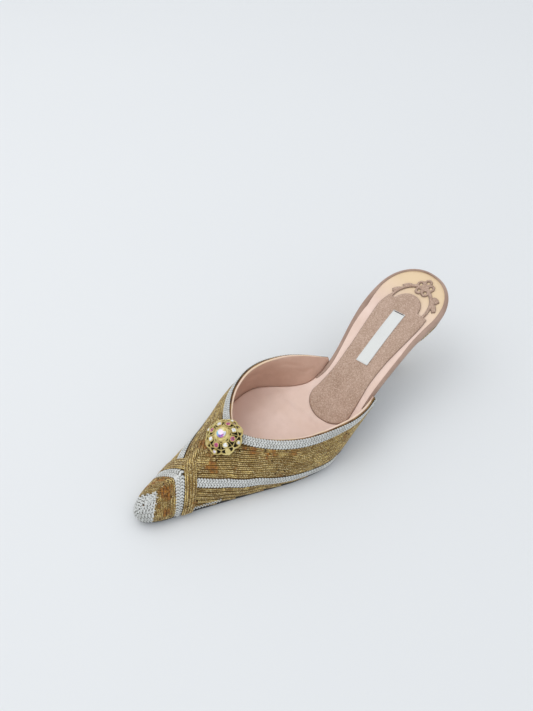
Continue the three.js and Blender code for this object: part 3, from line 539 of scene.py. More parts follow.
class Nodes:
    """A node tree with short ways to add nodes. An input is a value or another node's output."""

    def __init__(self, tree, place=None):
        self.tree, self.place = tree, place

    def feed(self, socket, value):
        if isinstance(value, bpy.types.NodeSocket):
            self.tree.links.new(value, socket)
        else:
            socket.default_value = value

    def outputs(self, kind, inputs=None, **settings):
        """A new node's outputs."""
        made = self.tree.nodes.new(kind)
        for key, value in settings.items():
            setattr(made, key, value)
        for key, value in (inputs or {}).items():
            self.feed(made.inputs[key], value)
        return made.outputs

    def add(self, kind, inputs=None, **settings):
        """A new node's first output."""
        return self.outputs(kind, inputs, **settings)[0]

    def calc(self, operation, a, b=0.0):
        return self.add("ShaderNodeMath", {0: a, 1: b}, operation=operation)

    def times(self, a, b):
        return self.calc("MULTIPLY", a, b)

    def plus(self, a, b):
        return self.calc("ADD", a, b)

    def combine(self, x, y=0.0, z=0.0):
        return self.add("ShaderNodeCombineXYZ", {"X": x, "Y": y, "Z": z})

    def coordinate(self, axis):
        return self.outputs("ShaderNodeSeparateXYZ", {0: self.place})[axis]

    def scaled(self, vector, amount):
        return self.add("ShaderNodeVectorMath", {0: vector, "Scale": amount}, operation="SCALE")

    def shifted(self, a, b):
        return self.add("ShaderNodeVectorMath", {0: a, 1: b}, operation="ADD")

    def noise(self, scale, detail=3.0, roughness=0.55, place=None):
        inputs = {"Vector": self.place if place is None else place, "Scale": scale, "Detail": detail}
        return self.outputs("ShaderNodeTexNoise", {**inputs, "Roughness": roughness})["Fac"]

    def remap(self, value, low, high, start=0.0, end=1.0):
        return self.add("ShaderNodeMapRange", {
            "Value": value, "From Min": low, "From Max": high, "To Min": start, "To Max": end})

    def fade(self, factor, start, end):
        """A number that goes from start to end as the factor goes from 0 to 1."""
        return self.remap(factor, 0.0, 1.0, start, end)

    def mix(self, factor, a, b):
        """Two colours mixed. Colours are sockets or triples."""
        a, b = [c if isinstance(c, bpy.types.NodeSocket) else (*c, 1) for c in (a, b)]
        return self.outputs("ShaderNodeMix", {0: factor, 6: a, 7: b}, data_type="RGBA")[2]

    def blend(self, value, low, high, a, b, most=1.0):
        """Colour a, and more of b as the value goes from low to high."""
        return self.mix(self.remap(value, low, high, 0.0, most), a, b)

    def named(self, name, kind="FLOAT"):
        return self.add("GeometryNodeInputNamedAttribute", {"Name": name}, data_type=kind)

    def direction(self, name):
        return self.named(name, "FLOAT_VECTOR")

    def stored(self, geometry, name, value, domain="POINT"):
        inputs = {"Geometry": geometry, "Name": name, "Value": value}
        return self.add("GeometryNodeStoreNamedAttribute", inputs, data_type="FLOAT", domain=domain)

    def circle(self, sides):
        return self.add("GeometryNodeCurvePrimitiveCircle", {"Resolution": sides, "Radius": 1.0})

    def ball(self, segments, rings, radius):
        return self.add("GeometryNodeMeshUVSphere", {"Segments": segments, "Rings": rings, "Radius": radius})

    def swept(self, curve, profile, scale):
        return self.add("GeometryNodeCurveToMesh", {
            "Curve": curve, "Profile Curve": profile, "Scale": scale, "Fill Caps": True})

    def joined(self, parts):
        made = self.tree.nodes.new("GeometryNodeJoinGeometry")
        for part in parts:
            self.tree.links.new(part, made.inputs[0])
        return made.outputs[0]

    def upright(self, outward, onward):
        """Rotation with its Z outwards and its X onwards."""
        return self.add("FunctionNodeAxesToRotation", {"Primary Axis": outward, "Secondary Axis": onward},
                        primary_axis="Z", secondary_axis="X")

    def turned(self, rotation, axis, angle):
        """A rotation with a turn about one of its own axes added."""
        turn = self.add("FunctionNodeAxisAngleToRotation", {"Axis": axis, "Angle": angle})
        return self.add("FunctionNodeRotateRotation", {"Rotation": rotation, "Rotate By": turn},
                        rotation_space="LOCAL")


def new_tree(name, kind, inputs, outputs):
    """A node group with its named inputs and outputs, and the sockets at its two ends."""
    tree = bpy.data.node_groups.new(name, kind)
    for label, socket_type, default in inputs:
        socket = tree.interface.new_socket(label, in_out="INPUT", socket_type=socket_type)
        if default is not None:
            socket.default_value = default
    for label, socket_type in outputs:
        tree.interface.new_socket(label, in_out="OUTPUT", socket_type=socket_type)
    start, ends = tree.nodes.new("NodeGroupInput").outputs, tree.nodes.new("NodeGroupOutput").inputs
    return Nodes(tree, start.get("Vector")), start, ends


# Geometry nodes
def geometry_tree(name, inputs):
    inputs = [("Geometry", GEOMETRY, None), *inputs, ("Material", MATERIAL, None)]
    return new_tree(name, "GeometryNodeTree", inputs, [("Geometry", GEOMETRY)])


def guide_curves(tree, geometry):
    """The guide lines as curves whose width lies along their own across direction."""
    curve = tree.add("GeometryNodeMeshToCurve", {"Mesh": geometry})
    across = tree.direction("across")
    return tree.add("GeometryNodeSetCurveNormal", {"Curve": curve, "Normal": across}, mode="FREE")


def oval_profile(tree, width, height, sides):
    """Closed oval, width across and height up, that starts at its underside and knows how far round it is."""
    lowest_first = tree.add("GeometryNodeTransform", {
        "Geometry": tree.circle(sides), "Rotation": (0, 0, -math.pi / 2)})
    half = tree.combine(tree.times(width, 0.5), tree.times(height, 0.5), 1.0)
    sized = tree.add("GeometryNodeTransform", {"Geometry": lowest_first, "Scale": half})
    return tree.stored(sized, "around", tree.outputs("GeometryNodeSplineParameter")["Factor"])


def close_tree(tree, ends, geometry, material):
    """Ends a tree in one smooth mesh with its material."""
    smooth = tree.add("GeometryNodeSetShadeSmooth", {"Geometry": geometry})
    real = tree.add("GeometryNodeRealizeInstances", {"Geometry": smooth})
    tree.feed(ends[0], tree.add("GeometryNodeSetMaterial", {"Geometry": real, "Material": material}))
    return tree


def plait_tree(name, columns, defaults):
    """A cord or braid along every guide line: a base with columns of leaning strands laid over it."""
    tree, out, ends = geometry_tree(name, [
        *((label, FLOAT, value) for label, value in defaults.items()), ("Seed", WHOLE, 4)])
    sparse = tree.add("GeometryNodeResampleCurve", {
        "Curve": guide_curves(tree, out["Geometry"]), "Length": out["Pitch"]}, mode="LENGTH")
    profile = oval_profile(tree, tree.times(out["Width"], 0.92), out["Base Height"], 6)
    size = tree.named("size")
    parts = [tree.stored(tree.swept(sparse, profile, size), "tone", -1.0)]
    strand = tree.add("GeometryNodeTransform", {
        "Geometry": tree.ball(6, 4, 0.5),
        "Scale": tree.combine(out["Strand Length"], out["Strand Width"], out["Strand Height"])})
    tangent = tree.add("GeometryNodeInputTangent")
    across, outward = tree.direction("across"), tree.direction("out")
    upright = tree.upright(outward, tangent)
    kept = tree.calc("SUBTRACT", 1.0, tree.times(tree.named("worn"), out["Loss"]))
    for column in range(columns):
        side = (column - (columns - 1) / 2) / columns
        aside = tree.scaled(across, tree.times(tree.times(out["Width"], side), size))
        onward = tree.scaled(tangent, tree.times(out["Pitch"], 0.5 * (column // 2 % 2)))
        raised = tree.shifted(tree.shifted(aside, onward), tree.scaled(outward, out["Strand Lift"]))
        rolled = tree.turned(upright, (1, 0, 0), tree.times(out["Roll"], -2 * side))
        leaning = tree.turned(rolled, (0, 0, 1), tree.times(out["Lean"], 1.0 if column % 2 else -1.0))
        seed = tree.add("FunctionNodeIntegerMath", {0: out["Seed"], 1: column}, operation="ADD")
        chosen = tree.outputs("FunctionNodeRandomValue", {"Probability": kept, "Seed": seed},
                              data_type="BOOLEAN")[3]
        tones = tree.outputs("FunctionNodeRandomValue", {"Seed": seed}, data_type="FLOAT")[1]
        placed = tree.add("GeometryNodeInstanceOnPoints", {
            "Points": tree.add("GeometryNodeSetPosition", {"Geometry": sparse, "Offset": raised}),
            "Selection": chosen, "Instance": strand, "Rotation": leaning,
            "Scale": tree.combine(size, size, 1.0)})
        parts.append(tree.stored(placed, "tone", tones, "INSTANCE"))
    return close_tree(tree, ends, tree.joined(parts), out["Material"])


def braid_tree():
    return plait_tree("Flat braid along guides", 4, {
        "Width": 0.0054, "Pitch": 0.0018, "Base Height": 0.0010, "Strand Length": 0.0028,
        "Strand Width": 0.00150, "Strand Height": 0.0007, "Strand Lift": 0.0003, "Lean": 0.72, "Roll": 0.0,
        "Loss": 0.0})


def cord_tree():
    return plait_tree("Corded plait along guides", 2, {
        "Width": 0.0022, "Pitch": 0.0012, "Base Height": 0.0013, "Strand Length": 0.0021,
        "Strand Width": 0.0010, "Strand Height": 0.00075, "Strand Lift": 0.0003, "Lean": 0.36, "Roll": 0.4,
        "Loss": 0.12})


def thread_tree():
    """Smooth oval thread along every guide line."""
    tree, out, ends = geometry_tree("Thread along guides", [
        ("Width", FLOAT, 0.001), ("Height", FLOAT, 0.0008), ("Sides", WHOLE, 8)])
    profile = oval_profile(tree, out["Width"], out["Height"], out["Sides"])
    thread = tree.swept(guide_curves(tree, out["Geometry"]), profile, tree.named("size"))
    return close_tree(tree, ends, thread, out["Material"])


def ring_tree():
    """A wire ring with claws round every point of the guide mesh, its axis along the point's out."""
    tree, out, ends = geometry_tree("Stone settings", [
        ("Wire", FLOAT, 0.0006), ("Rise", FLOAT, 0.0004), ("Sides", WHOLE, 20), ("Claws", WHOLE, 4)])
    wire = tree.calc("DIVIDE", out["Wire"], 2.0)
    outward = tree.direction("out")
    rings = tree.add("GeometryNodeInstanceOnPoints", {
        "Points": tree.add("GeometryNodeMeshToPoints", {"Mesh": out["Geometry"]}),
        "Instance": tree.circle(out["Sides"]), "Rotation": tree.upright(outward, tree.direction("across")),
        "Scale": tree.named("size")})
    real = tree.add("GeometryNodeRealizeInstances", {"Geometry": rings})
    corners = tree.add("GeometryNodeResampleCurve", {"Curve": real, "Count": out["Claws"]}, mode="COUNT")
    claws = tree.add("GeometryNodeInstanceOnPoints", {
        "Points": corners, "Instance": tree.ball(8, 5, 1.0), "Scale": tree.times(wire, 1.25)})
    raised = tree.add("GeometryNodeTranslateInstances", {
        "Instances": claws, "Translation": tree.scaled(outward, out["Rise"]), "Local Space": False})
    parts = [tree.swept(real, tree.circle(8), wire), raised]
    return close_tree(tree, ends, tree.joined(parts), out["Material"])


_groups = {}


def shared(kind):
    """The named node group, made once."""
    if kind not in _groups:
        _groups[kind] = GROUPS[kind]().tree
    return _groups[kind]


def grown(made, kind, **values):
    """Runs a tree on a guide mesh, keeps the result as a plain mesh and removes the modifier."""
    modifier = made.modifiers.new(kind, "NODES")
    modifier.node_group = shared(kind)
    sockets = modifier.node_group.interface.items_tree
    identifiers = {item.name: item.identifier for item in sockets if item.in_out == "INPUT"}
    for key, value in values.items():
        modifier[identifiers[key.replace("_", " ")]] = value
    bpy.context.view_layer.update()
    depsgraph = bpy.context.evaluated_depsgraph_get()
    mesh = bpy.data.meshes.new_from_object(
        made.evaluated_get(depsgraph), preserve_all_data_layers=True, depsgraph=depsgraph)
    made.modifiers.clear()
    guide, made.data = made.data, mesh
    bpy.data.meshes.remove(guide)
    mesh.name = made.name
    return made


# Materials
def tone(red, green, blue):
    """A colour given as a screen's 0 to 255, as the shader wants it."""
    return tuple(round((c / 255 / 12.92) if c <= 10 else ((c / 255 + 0.055) / 1.055) ** 2.4, 4)
                 for c in (red, green, blue))


def shader_group(name, inputs, outputs):
    return new_tree(name, "ShaderNodeTree", inputs, [(label, FLOAT) for label in outputs])


def wear_group():
    """Ragged mask that opens where Amount is high, as where thread is rubbed away."""
    tree, start, ends = shader_group("Rubbed thread", [
        ("Vector", VECTOR, None), ("Amount", FLOAT, 0.3), ("Scale", FLOAT, 400.0), ("Softness", FLOAT, 0.2)],
        ["Mask"])
    fine = tree.noise(start["Scale"], 4.0, 0.65)
    broad = tree.noise(tree.times(start["Scale"], 0.22), 2.0)
    both = tree.plus(tree.times(fine, 0.6), tree.times(broad, 0.4))
    opened = tree.plus(both, tree.calc("SUBTRACT", start["Amount"], 1.0))
    mask = tree.add("ShaderNodeClamp", {"Value": tree.calc("DIVIDE", opened, start["Softness"])})
    tree.feed(ends["Mask"], mask)
    return tree


def grain_group():
    """Leather: small cells with fine creases between them, and a broad mottle."""
    tree, start, ends = shader_group("Leather grain", [
        ("Vector", VECTOR, None), ("Cell Size", FLOAT, 900.0), ("Crease", FLOAT, 0.5)], ["Height", "Mottle"])
    cells = tree.outputs("ShaderNodeTexVoronoi", {"Vector": tree.place, "Scale": start["Cell Size"]},
                         feature="DISTANCE_TO_EDGE")["Distance"]
    pebble = tree.remap(cells, 0.0, 0.25)
    fine = tree.noise(tree.times(start["Cell Size"], 2.5))
    wrinkle = tree.noise(tree.times(start["Cell Size"], 0.12), 5.0, 0.6)
    height = tree.plus(tree.times(pebble, 0.4), tree.times(fine, 0.3))
    tree.feed(ends["Height"], tree.plus(height, tree.times(wrinkle, start["Crease"])))
    tree.feed(ends["Mottle"], tree.noise(tree.times(start["Cell Size"], 0.05), 4.0))
    return tree


def chain_group():
    """Chain stitch along a cord: V-shaped lumps with a groove along the middle. Its Gap is painted shade,
    darkest in the grooves between the lumps.
    """
    tree, start, ends = shader_group("Chain stitch", [
        ("Reach", FLOAT, 0.0), ("Around", FLOAT, 0.5), ("Pitch", FLOAT, 1.2)], ["Height", "Gap"])
    off = tree.times(tree.calc("ABSOLUTE", tree.calc("SUBTRACT", start["Around"], 0.5)), 4.0)
    phase = tree.plus(tree.calc("DIVIDE", start["Reach"], start["Pitch"]), tree.times(off, 0.75))
    lump = tree.calc("SINE", tree.times(tree.calc("FRACT", phase), math.pi))
    height = tree.times(tree.calc("POWER", lump, 0.6), tree.remap(off, 0.0, 0.22, 0.35, 1.0))
    tree.feed(ends["Height"], height)
    # Painted shade: Gap grows where the stitch is lowest.
    tree.feed(ends["Gap"], tree.calc("POWER", tree.calc("SUBTRACT", 1.0, height), 2.0))
    return tree


def dust_group():
    """Sparse specks and smudges of dirt."""
    tree, start, ends = shader_group("Specks and smudges", [
        ("Vector", VECTOR, None), ("Amount", FLOAT, 0.3)], ["Mask"])
    specks = tree.remap(tree.noise(1500.0, 2.0), 0.68, 0.78)
    smudge = tree.remap(tree.noise(90.0, 4.0, 0.6), 0.5, 0.75)
    both = tree.calc("MAXIMUM", tree.times(specks, 0.7), tree.times(smudge, 0.5))
    tree.feed(ends["Mask"], tree.times(both, start["Amount"]))
    return tree


GROUPS = {"cord": cord_tree, "braid": braid_tree, "thread": thread_tree, "ring": ring_tree,
          "wear": wear_group, "grain": grain_group, "chain": chain_group, "dust": dust_group}


class Finish(Nodes):
    """A material, with its shader and the shared groups at hand."""

    def __init__(self, name, **fixed):
        self.material = bpy.data.materials.new(name)
        self.material.use_nodes = True
        super().__init__(self.material.node_tree)
        self.shader = self.tree.nodes["Principled BSDF"].inputs
        self.set(**fixed)
        self.place = self.outputs("ShaderNodeTexCoord")["Object"]

    def attribute(self, name):
        return self.outputs("ShaderNodeAttribute", attribute_name=name)["Fac"]

    def group(self, kind, **values):
        made = self.tree.nodes.new("ShaderNodeGroup")
        made.node_tree = shared(kind)
        if "Vector" in made.inputs:
            values["Vector"] = self.place
        for key, value in values.items():
            self.feed(made.inputs[key.replace("_", " ")], value)
        return made.outputs

    def set(self, **values):
        for key, value in values.items():
            self.feed(self.shader[key.replace("_", " ")], value)

    def bump(self, height, distance):
        inputs = {"Height": height, "Distance": distance * MM, "Strength": 1.0}
        self.set(Normal=self.add("ShaderNodeBump", inputs))


_finishes = {}


def finish(name):
    """The named material, made once."""
    if name not in _finishes:
        _finishes[name] = FINISHES[name]().material
    return _finishes[name]


def gold_cord():
    look = bpy.context.scene.mule_cords
    made = Finish("gold cord", Roughness=0.5, Sheen_Weight=0.15, Sheen_Roughness=0.4)
    strand, reach = made.attribute("tone"), made.attribute("reach")
    flecks = made.noise(1500.0, 3.0, 0.7)
    lengthwise = made.noise(1.0, 3.0, 0.6, made.combine(made.times(reach, 0.16)))
    streaks = made.noise(1.0, 2.0, place=made.combine(made.times(reach, 0.035)))
    body = made.mix(made.times(made.fade(strand, 0.25, 1.0), made.remap(streaks, 0.42, 0.56)),
                    look.deep, look.light)
    body = made.blend(lengthwise, 0.44, 0.56, body, look.deep, 0.9)
    # Painted highlight and painted shade: glint where the flecks are high, specks of the dark gap colour
    # where they are low.
    body = made.blend(flecks, 0.52, 0.64, body, look.glint, 0.9)
    body = made.blend(flecks, 0.45, 0.36, body, look.gap, 0.85)
    ragged = made.plus(made.times(lengthwise, 0.7), made.times(flecks, 0.3))
    rubbed = made.remap(made.plus(ragged, made.times(made.attribute("worn"), 0.17)), 0.60, 0.66)
    rust = made.blend(made.noise(700.0), 0.38, 0.62, look.worn_dark, look.worn)
    body = made.mix(made.times(rubbed, 0.85), body, rust)
    # Painted shade: the base under the strands shows only between them and takes the dark gap colour, with
    # rust where the cord is worn.
    core = made.mix(made.times(rubbed, 0.7), look.gap, rust)
    bare = made.remap(strand, -0.6, -0.2, 1.0, 0.0)
    made.set(Base_Color=made.mix(bare, body, core), Roughness=made.fade(bare, 0.45, 0.85),
             Metallic=made.times(made.fade(bare, 0.3, 0.0), made.fade(rubbed, 1.0, 0.2)))
    made.bump(flecks, 0.14)
    return made


def silver_braid():
    look = bpy.context.scene.mule_braids
    made = Finish("silver braid", Roughness=0.4)
    strand, thread = made.attribute("tone"), made.noise(1700.0, 3.0, 0.7)
    body = made.blend(strand, 0.0, 1.0, look.light, look.shade, 0.8)
    # Painted highlight and painted shade: specks of the lit colour where the thread noise is high, of the
    # dark gap colour where it is low.
    body = made.blend(thread, 0.55, 0.7, body, look.light, 0.8)
    body = made.blend(thread, 0.42, 0.32, body, look.gap, 0.7)
    body = made.mix(made.group("dust", Amount=0.6)["Mask"], body, look.dirt)
    # Painted shade: the base under the strands shows only between them and takes the gap colour.
    bare = made.remap(strand, -0.6, -0.2, 1.0, 0.0)
    made.set(Base_Color=made.mix(bare, body, look.gap), Metallic=made.fade(bare, 0.25, 0.0),
             Roughness=made.fade(bare, 0.4, 0.8))
    made.bump(thread, 0.06)
    return made


def ground_cloth():
    look = bpy.context.scene.mule_cords
    made = Finish("upper ground cloth", Roughness=0.85)
    weave = made.noise(2400.0, 2.0)
    # Painted shade: the ground shows only in the valleys between cords and is coloured dark, from the gap
    # colour to deep gold.
    made.set(Base_Color=made.blend(weave, 0.3, 0.7, look.gap, look.deep))
    made.bump(weave, 0.08)
    return made


def leather(name, colours, roughness, cell, crease, height, dirt=0.0, coat=0.0):
    """Leather in two of the leather settings' colours, the deeper one first."""
    shade, light = [getattr(bpy.context.scene.mule_leathers, colour) for colour in colours]
    made = Finish(name, Coat_Roughness=0.35, Sheen_Weight=0.05, Coat_Weight=coat)
    grain = made.group("grain", Cell_Size=cell, Crease=crease)
    body = made.blend(grain["Mottle"], 0.3, 0.7, shade, light)
    if dirt:
        body = made.mix(made.group("dust", Amount=dirt)["Mask"], body, tone(110, 84, 66))
    made.set(Base_Color=body,
             Roughness=made.remap(grain["Mottle"], 0.3, 0.7, roughness + 0.08, roughness - 0.06))
    made.bump(grain["Height"], height)
    return made


def lining_leather():
    return leather("lining leather", ("lining_shade", "lining"), 0.5, 1100.0, 0.8, 0.07, 0.12, 0.05)


def lining_edge():
    return leather("lining edge", ("insole", "seat"), 0.5, 1300.0, 0.6, 0.05, 0.2)


def rim_leather():
    return leather("rim leather", ("rim_shade", "rim"), 0.5, 1300.0, 0.9, 0.06, 0.25, 0.05)


SEAT_FADE = (14, 40)


def insole_leather():
    """Forepart pink-nude, warmer and yellower on the heel seat."""
    made = leather("insole leather", ("insole_shade", "insole"), 0.46, 1200.0, 1.0, 0.06, 0.0, 0.08)
    pink = made.shader["Base Color"].links[0].from_socket
    rear, front = [(y - CENTRE[1]) * MM for y in SEAT_FADE]
    warm = made.blend(made.coordinate(1), front, rear, pink, bpy.context.scene.mule_leathers.seat)
    made.set(Base_Color=made.mix(made.group("dust", Amount=0.18)["Mask"], warm, tone(150, 112, 88)))
    return made


def suede():
    look = bpy.context.scene.mule_leathers
    made = Finish("suede", Roughness=0.95, Sheen_Weight=0.55, Sheen_Roughness=0.45)
    nap, brushed = made.noise(1100.0, 4.0, 0.8), made.noise(85.0, 5.0, 0.62)
    lying = made.add("ShaderNodeMapping", {
        "Vector": made.place, "Scale": (1, 0.3, 1), "Rotation": (0, 0, 0.5)})
    fibre = made.noise(900.0, 3.0, 0.5, lying)
    body = made.blend(brushed, 0.3, 0.7, look.suede_shade, look.suede)
    body = made.blend(nap, 0.5, 0.64, body, look.suede_light, 0.8)
    body = made.blend(nap, 0.46, 0.36, body, look.suede_edge, 0.4)
    made.set(Base_Color=made.mix(made.times(made.attribute("rim"), 0.8), body, look.suede_edge))
    made.bump(made.plus(nap, fibre), 0.22)
    return made


def label_tape():
    made = Finish("label tape", Roughness=0.7, Sheen_Weight=0.2)
    lying = made.add("ShaderNodeMapping", {
        "Vector": made.place, "Rotation": (0, 0, -math.radians(LABEL["turn"] + 90))})
    ribs = made.outputs("ShaderNodeTexWave", {"Vector": lying, "Scale": 620.0, "Distortion": 0.6},
                        bands_direction="X")["Fac"]
    body = made.mix(ribs, tone(214, 217, 215), tone(232, 234, 232))
    made.set(Base_Color=made.mix(made.group("dust", Amount=0.15)["Mask"], body, tone(150, 140, 130)))
    made.bump(ribs, 0.03)
    return made


def dark_thread():
    made = Finish("dark thread", Roughness=0.7)
    made.set(Base_Color=made.mix(made.noise(2000.0), tone(46, 32, 28), tone(84, 62, 52)))
    return made


def sole_leather():
    made = Finish("sole leather", Coat_Roughness=0.3)
    grain = made.group("grain", Cell_Size=900.0, Crease=0.8)
    tread = made.remap(made.coordinate(2), 0.4 * MM, 0.02 * MM)
    scuffed = made.group("wear", Amount=made.times(tread, 0.75), Scale=160.0, Softness=0.3)["Mask"]
    body = made.blend(grain["Mottle"], 0.3, 0.7, tone(14, 12, 12), tone(28, 24, 22))
    made.set(Base_Color=made.mix(scuffed, body, tone(120, 104, 90)), Roughness=made.fade(scuffed, 0.42, 0.8))
    made.bump(grain["Height"], 0.08)
    return made


def tip_rubber():
    made = Finish("heel tip", Roughness=0.45)
    scuffed = made.group("wear", Amount=0.35, Scale=500.0, Softness=0.3)["Mask"]
    made.set(Base_Color=made.mix(scuffed, tone(52, 26, 18), tone(96, 62, 44)))
    made.bump(made.noise(1800.0), 0.04)
    return made


def topline_gold():
    made = Finish("topline binding", Roughness=0.5, Metallic=0.2)
    twist = made.group("chain", Reach=made.attribute("reach"), Around=made.attribute("around"), Pitch=0.9)
    body = made.blend(made.noise(180.0), 0.4, 0.6, tone(96, 58, 28), tone(168, 128, 74))
    # Painted shade: dark brown laid into the stitch's grooves through its Gap.
    made.set(Base_Color=made.mix(made.times(twist["Gap"], 0.5), body, tone(58, 34, 20)))
    made.bump(twist["Height"], 0.12)
    return made


def pale_gold():
    look = bpy.context.scene.mule_rosette
    made = Finish("rosette metal", Metallic=0.6)
    hammered = made.noise(1500.0, 2.0)
    made.set(Base_Color=made.blend(made.noise(320.0, 4.0), 0.35, 0.7, look.metal, look.metal_shade),
             Roughness=made.remap(hammered, 0.3, 0.7, 0.3, 0.5))
    made.bump(hammered, 0.09)
    return made


def hole_shade():
    made = Finish("rosette inside", Roughness=0.75, Metallic=0.3)
    # Painted shade: near-black metal that makes the plate's openings read as shadowed holes.
    made.set(Base_Color=made.mix(made.noise(700.0), tone(20, 17, 10), tone(58, 48, 26)))
    return made


def crystal(name, ramp, milk=0.4):
    """Cut glass whose facets take different colours: painted reflections and highlights, picked by each
    facet's number.
    """
    made = Finish(name, Roughness=0.08, Metallic=0.2, Coat_Weight=0.6, Coat_Roughness=0.05, IOR=1.6)
    colours = made.tree.nodes.new("ShaderNodeValToRGB")
    made.feed(colours.inputs["Fac"], made.attribute("facet"))
    colours.color_ramp.interpolation = "CONSTANT"
    stops = colours.color_ramp.elements
    while len(stops) < len(ramp):
        stops.new(0.5)
    for i, colour in enumerate(ramp):
        stops[i].position = i / len(ramp)
        stops[i].color = (*colour, 1)
    cloudy = made.noise(1100.0, 1.0, 0.5)
    made.set(Base_Color=made.blend(cloudy, 0.4, 0.65, colours.outputs[0], tone(250, 250, 252), milk))
    return made


def clear_stone():
    clear = bpy.context.scene.mule_rosette.clear
    # Painted reflections and highlights: the greys, whites and lilac on the clear facets.
    return crystal("clear stones", [
        clear, tone(196, 200, 208), tone(250, 250, 252), tone(216, 196, 224), tone(176, 184, 190), clear,
        tone(240, 234, 214)])


def rainbow_stone():
    # Partly the centre stone's rainbow coating, partly painted reflections and highlights: its facets take
    # these colours by their angle round the stone, the table the last one.
    return crystal("rainbow stone", [
        tone(206, 226, 232), tone(110, 206, 222), tone(140, 168, 226), tone(120, 66, 190), tone(196, 96, 180),
        tone(214, 218, 236), tone(250, 250, 252), tone(226, 208, 110), tone(244, 236, 176),
        tone(222, 206, 230)], 0.15)


def pink_stone():
    pink = bpy.context.scene.mule_rosette.pink
    # Painted shade and painted highlights: the deep and pale pinks on the facets.
    return crystal("pink stones", [
        pink, tone(146, 16, 82), tone(216, 84, 150), pink, tone(118, 10, 60), tone(232, 132, 184)], 0.1)


def floor_paper():
    made = Finish("floor paper", Roughness=0.7)
    paper = bpy.context.scene.mule_stage.floor
    made.set(Base_Color=made.blend(made.noise(3.0), 0.3, 0.7, paper, tone(214, 217, 221), 0.06))
    return made


FINISHES = {
    "gold cord": gold_cord, "silver braid": silver_braid, "ground": ground_cloth, "lining": lining_leather,
    "insole": insole_leather, "rim": rim_leather, "suede": suede, "label": label_tape,
    "dark thread": dark_thread, "sole": sole_leather, "tip": tip_rubber, "topline": topline_gold,
    "lining edge": lining_edge, "metal": pale_gold, "hole_shade": hole_shade, "clear": clear_stone,
    "rainbow": rainbow_stone, "pink": pink_stone, "floor": floor_paper}


# Settings
def colour(name, description, default):
    return FloatVectorProperty(
        name=name, description=description, subtype="COLOR", size=3, min=0, max=1, default=default)


def length(name, description, default):
    return FloatProperty(
        name=name, description=description, subtype="DISTANCE", unit="LENGTH", min=0.0001, max=0.1,
        precision=5, default=default)


class MuleCordSettings(bpy.types.PropertyGroup):
    """Gold cords of the upper and the heel"""
    width: length("Cord width", "Width of a gold cord", 0.00220)
    height: length("Cord height", "Height of a gold cord's core", 0.00120)
    stitch: length("Stitch length", "Length of one link of the plait", 0.00120)
    light: colour("Light gold", "Lit thread", tone(238, 208, 126))
    deep: colour("Deep gold", "Shaded thread", tone(136, 104, 40))
    # Glint is a painted highlight on the threads; gap is painted shade for the valleys between cords and
    # strands.
    glint: colour("Glint", "Bright metal fleck", tone(250, 238, 186))
    gap: colour("Gap", "Dark ground between cords", tone(74, 52, 20))
    worn: colour("Worn core", "Core where the thread is rubbed off", tone(184, 122, 32))
    worn_dark: colour("Dark core", "Darkest worn places", tone(112, 62, 14))


class MuleBraidSettings(bpy.types.PropertyGroup):
    """Flat silver braid of the upper"""
    width: length("Braid width", "Width of the flat braid", 0.0054)
    thickness: length("Braid thickness", "Thickness of a strand", 0.0007)
    pitch: length("Strand pitch", "Distance from one strand to the next along the braid", 0.0018)
    light: colour("Light silver", "Lit strand", tone(220, 222, 220))
    shade: colour("Grey silver", "Shaded strand", tone(192, 195, 193))
    # Gap is painted shade for the valleys between the strands.
    gap: colour("Gap", "Ground between the strands", tone(112, 110, 102))
    dirt: colour("Dirt", "Grime in the braid", tone(112, 104, 86))


class MuleLeatherSettings(bpy.types.PropertyGroup):
    """Lining, insole, rim and sock"""
    rim_width: length("Rim width", "Width of the wrapped rim where it is widest", 0.0046)
    lining: colour("Lining", "Lining of the upper", tone(214, 178, 158))
    lining_shade: colour("Lining shade", "Deeper tone of the lining", tone(196, 158, 138))
    insole: colour("Insole", "Forepart insole", tone(240, 214, 201))
    insole_shade: colour("Insole shade", "Deeper tone of the insole", tone(228, 200, 184))
    seat: colour("Heel seat", "Heel end of the insole", tone(232, 206, 168))
    rim: colour("Rim", "Wrapped rim", tone(178, 150, 134))
    rim_shade: colour("Rim shade", "Deeper tone of the rim", tone(150, 122, 106))
    suede: colour("Suede", "Sock", tone(190, 162, 144))
    suede_shade: colour("Suede shade", "Brushed the dark way", tone(170, 142, 122))
    suede_light: colour("Suede light", "Nap that catches light", tone(218, 194, 176))
    suede_edge: colour("Suede edge", "Cut edge of the sock", tone(116, 86, 68))


class MuleRosetteSettings(bpy.types.PropertyGroup):
    """Pierced rosette with stones"""
    thickness: length("Plate thickness", "Thickness of the pierced plate", 0.0011)
    wire: length("Setting wire", "Thickness of the wire round a stone", 0.0007)
    loops: IntProperty(name="Loops", description="Loops round the middle", min=5, max=12, default=8)
    metal: colour("Metal", "Pale gold", tone(224, 209, 146))
    metal_shade: colour("Metal shade", "Stained gold", tone(184, 162, 94))
    clear: colour("Clear stone", "Colour of the clear stones", tone(236, 240, 244))
    pink: colour("Pink stone", "Colour of the pink stones", tone(188, 36, 112))


class MuleStageSettings(bpy.types.PropertyGroup):
    """Floor, light and camera"""
    floor: colour("Floor", "Floor paper", tone(228, 231, 233))
    key: FloatProperty(
        name="Key light", description="Power of the large soft light", subtype="POWER", unit="POWER", min=0,
        max=500, default=3.4)
    sky: FloatProperty(
        name="Room light", description="Strength of the light from all round", min=0, max=4, default=0.92)
    lens: FloatProperty(
        name="Lens", description="Focal length on the long side", subtype="DISTANCE_CAMERA", min=10, max=200,
        default=31.83)


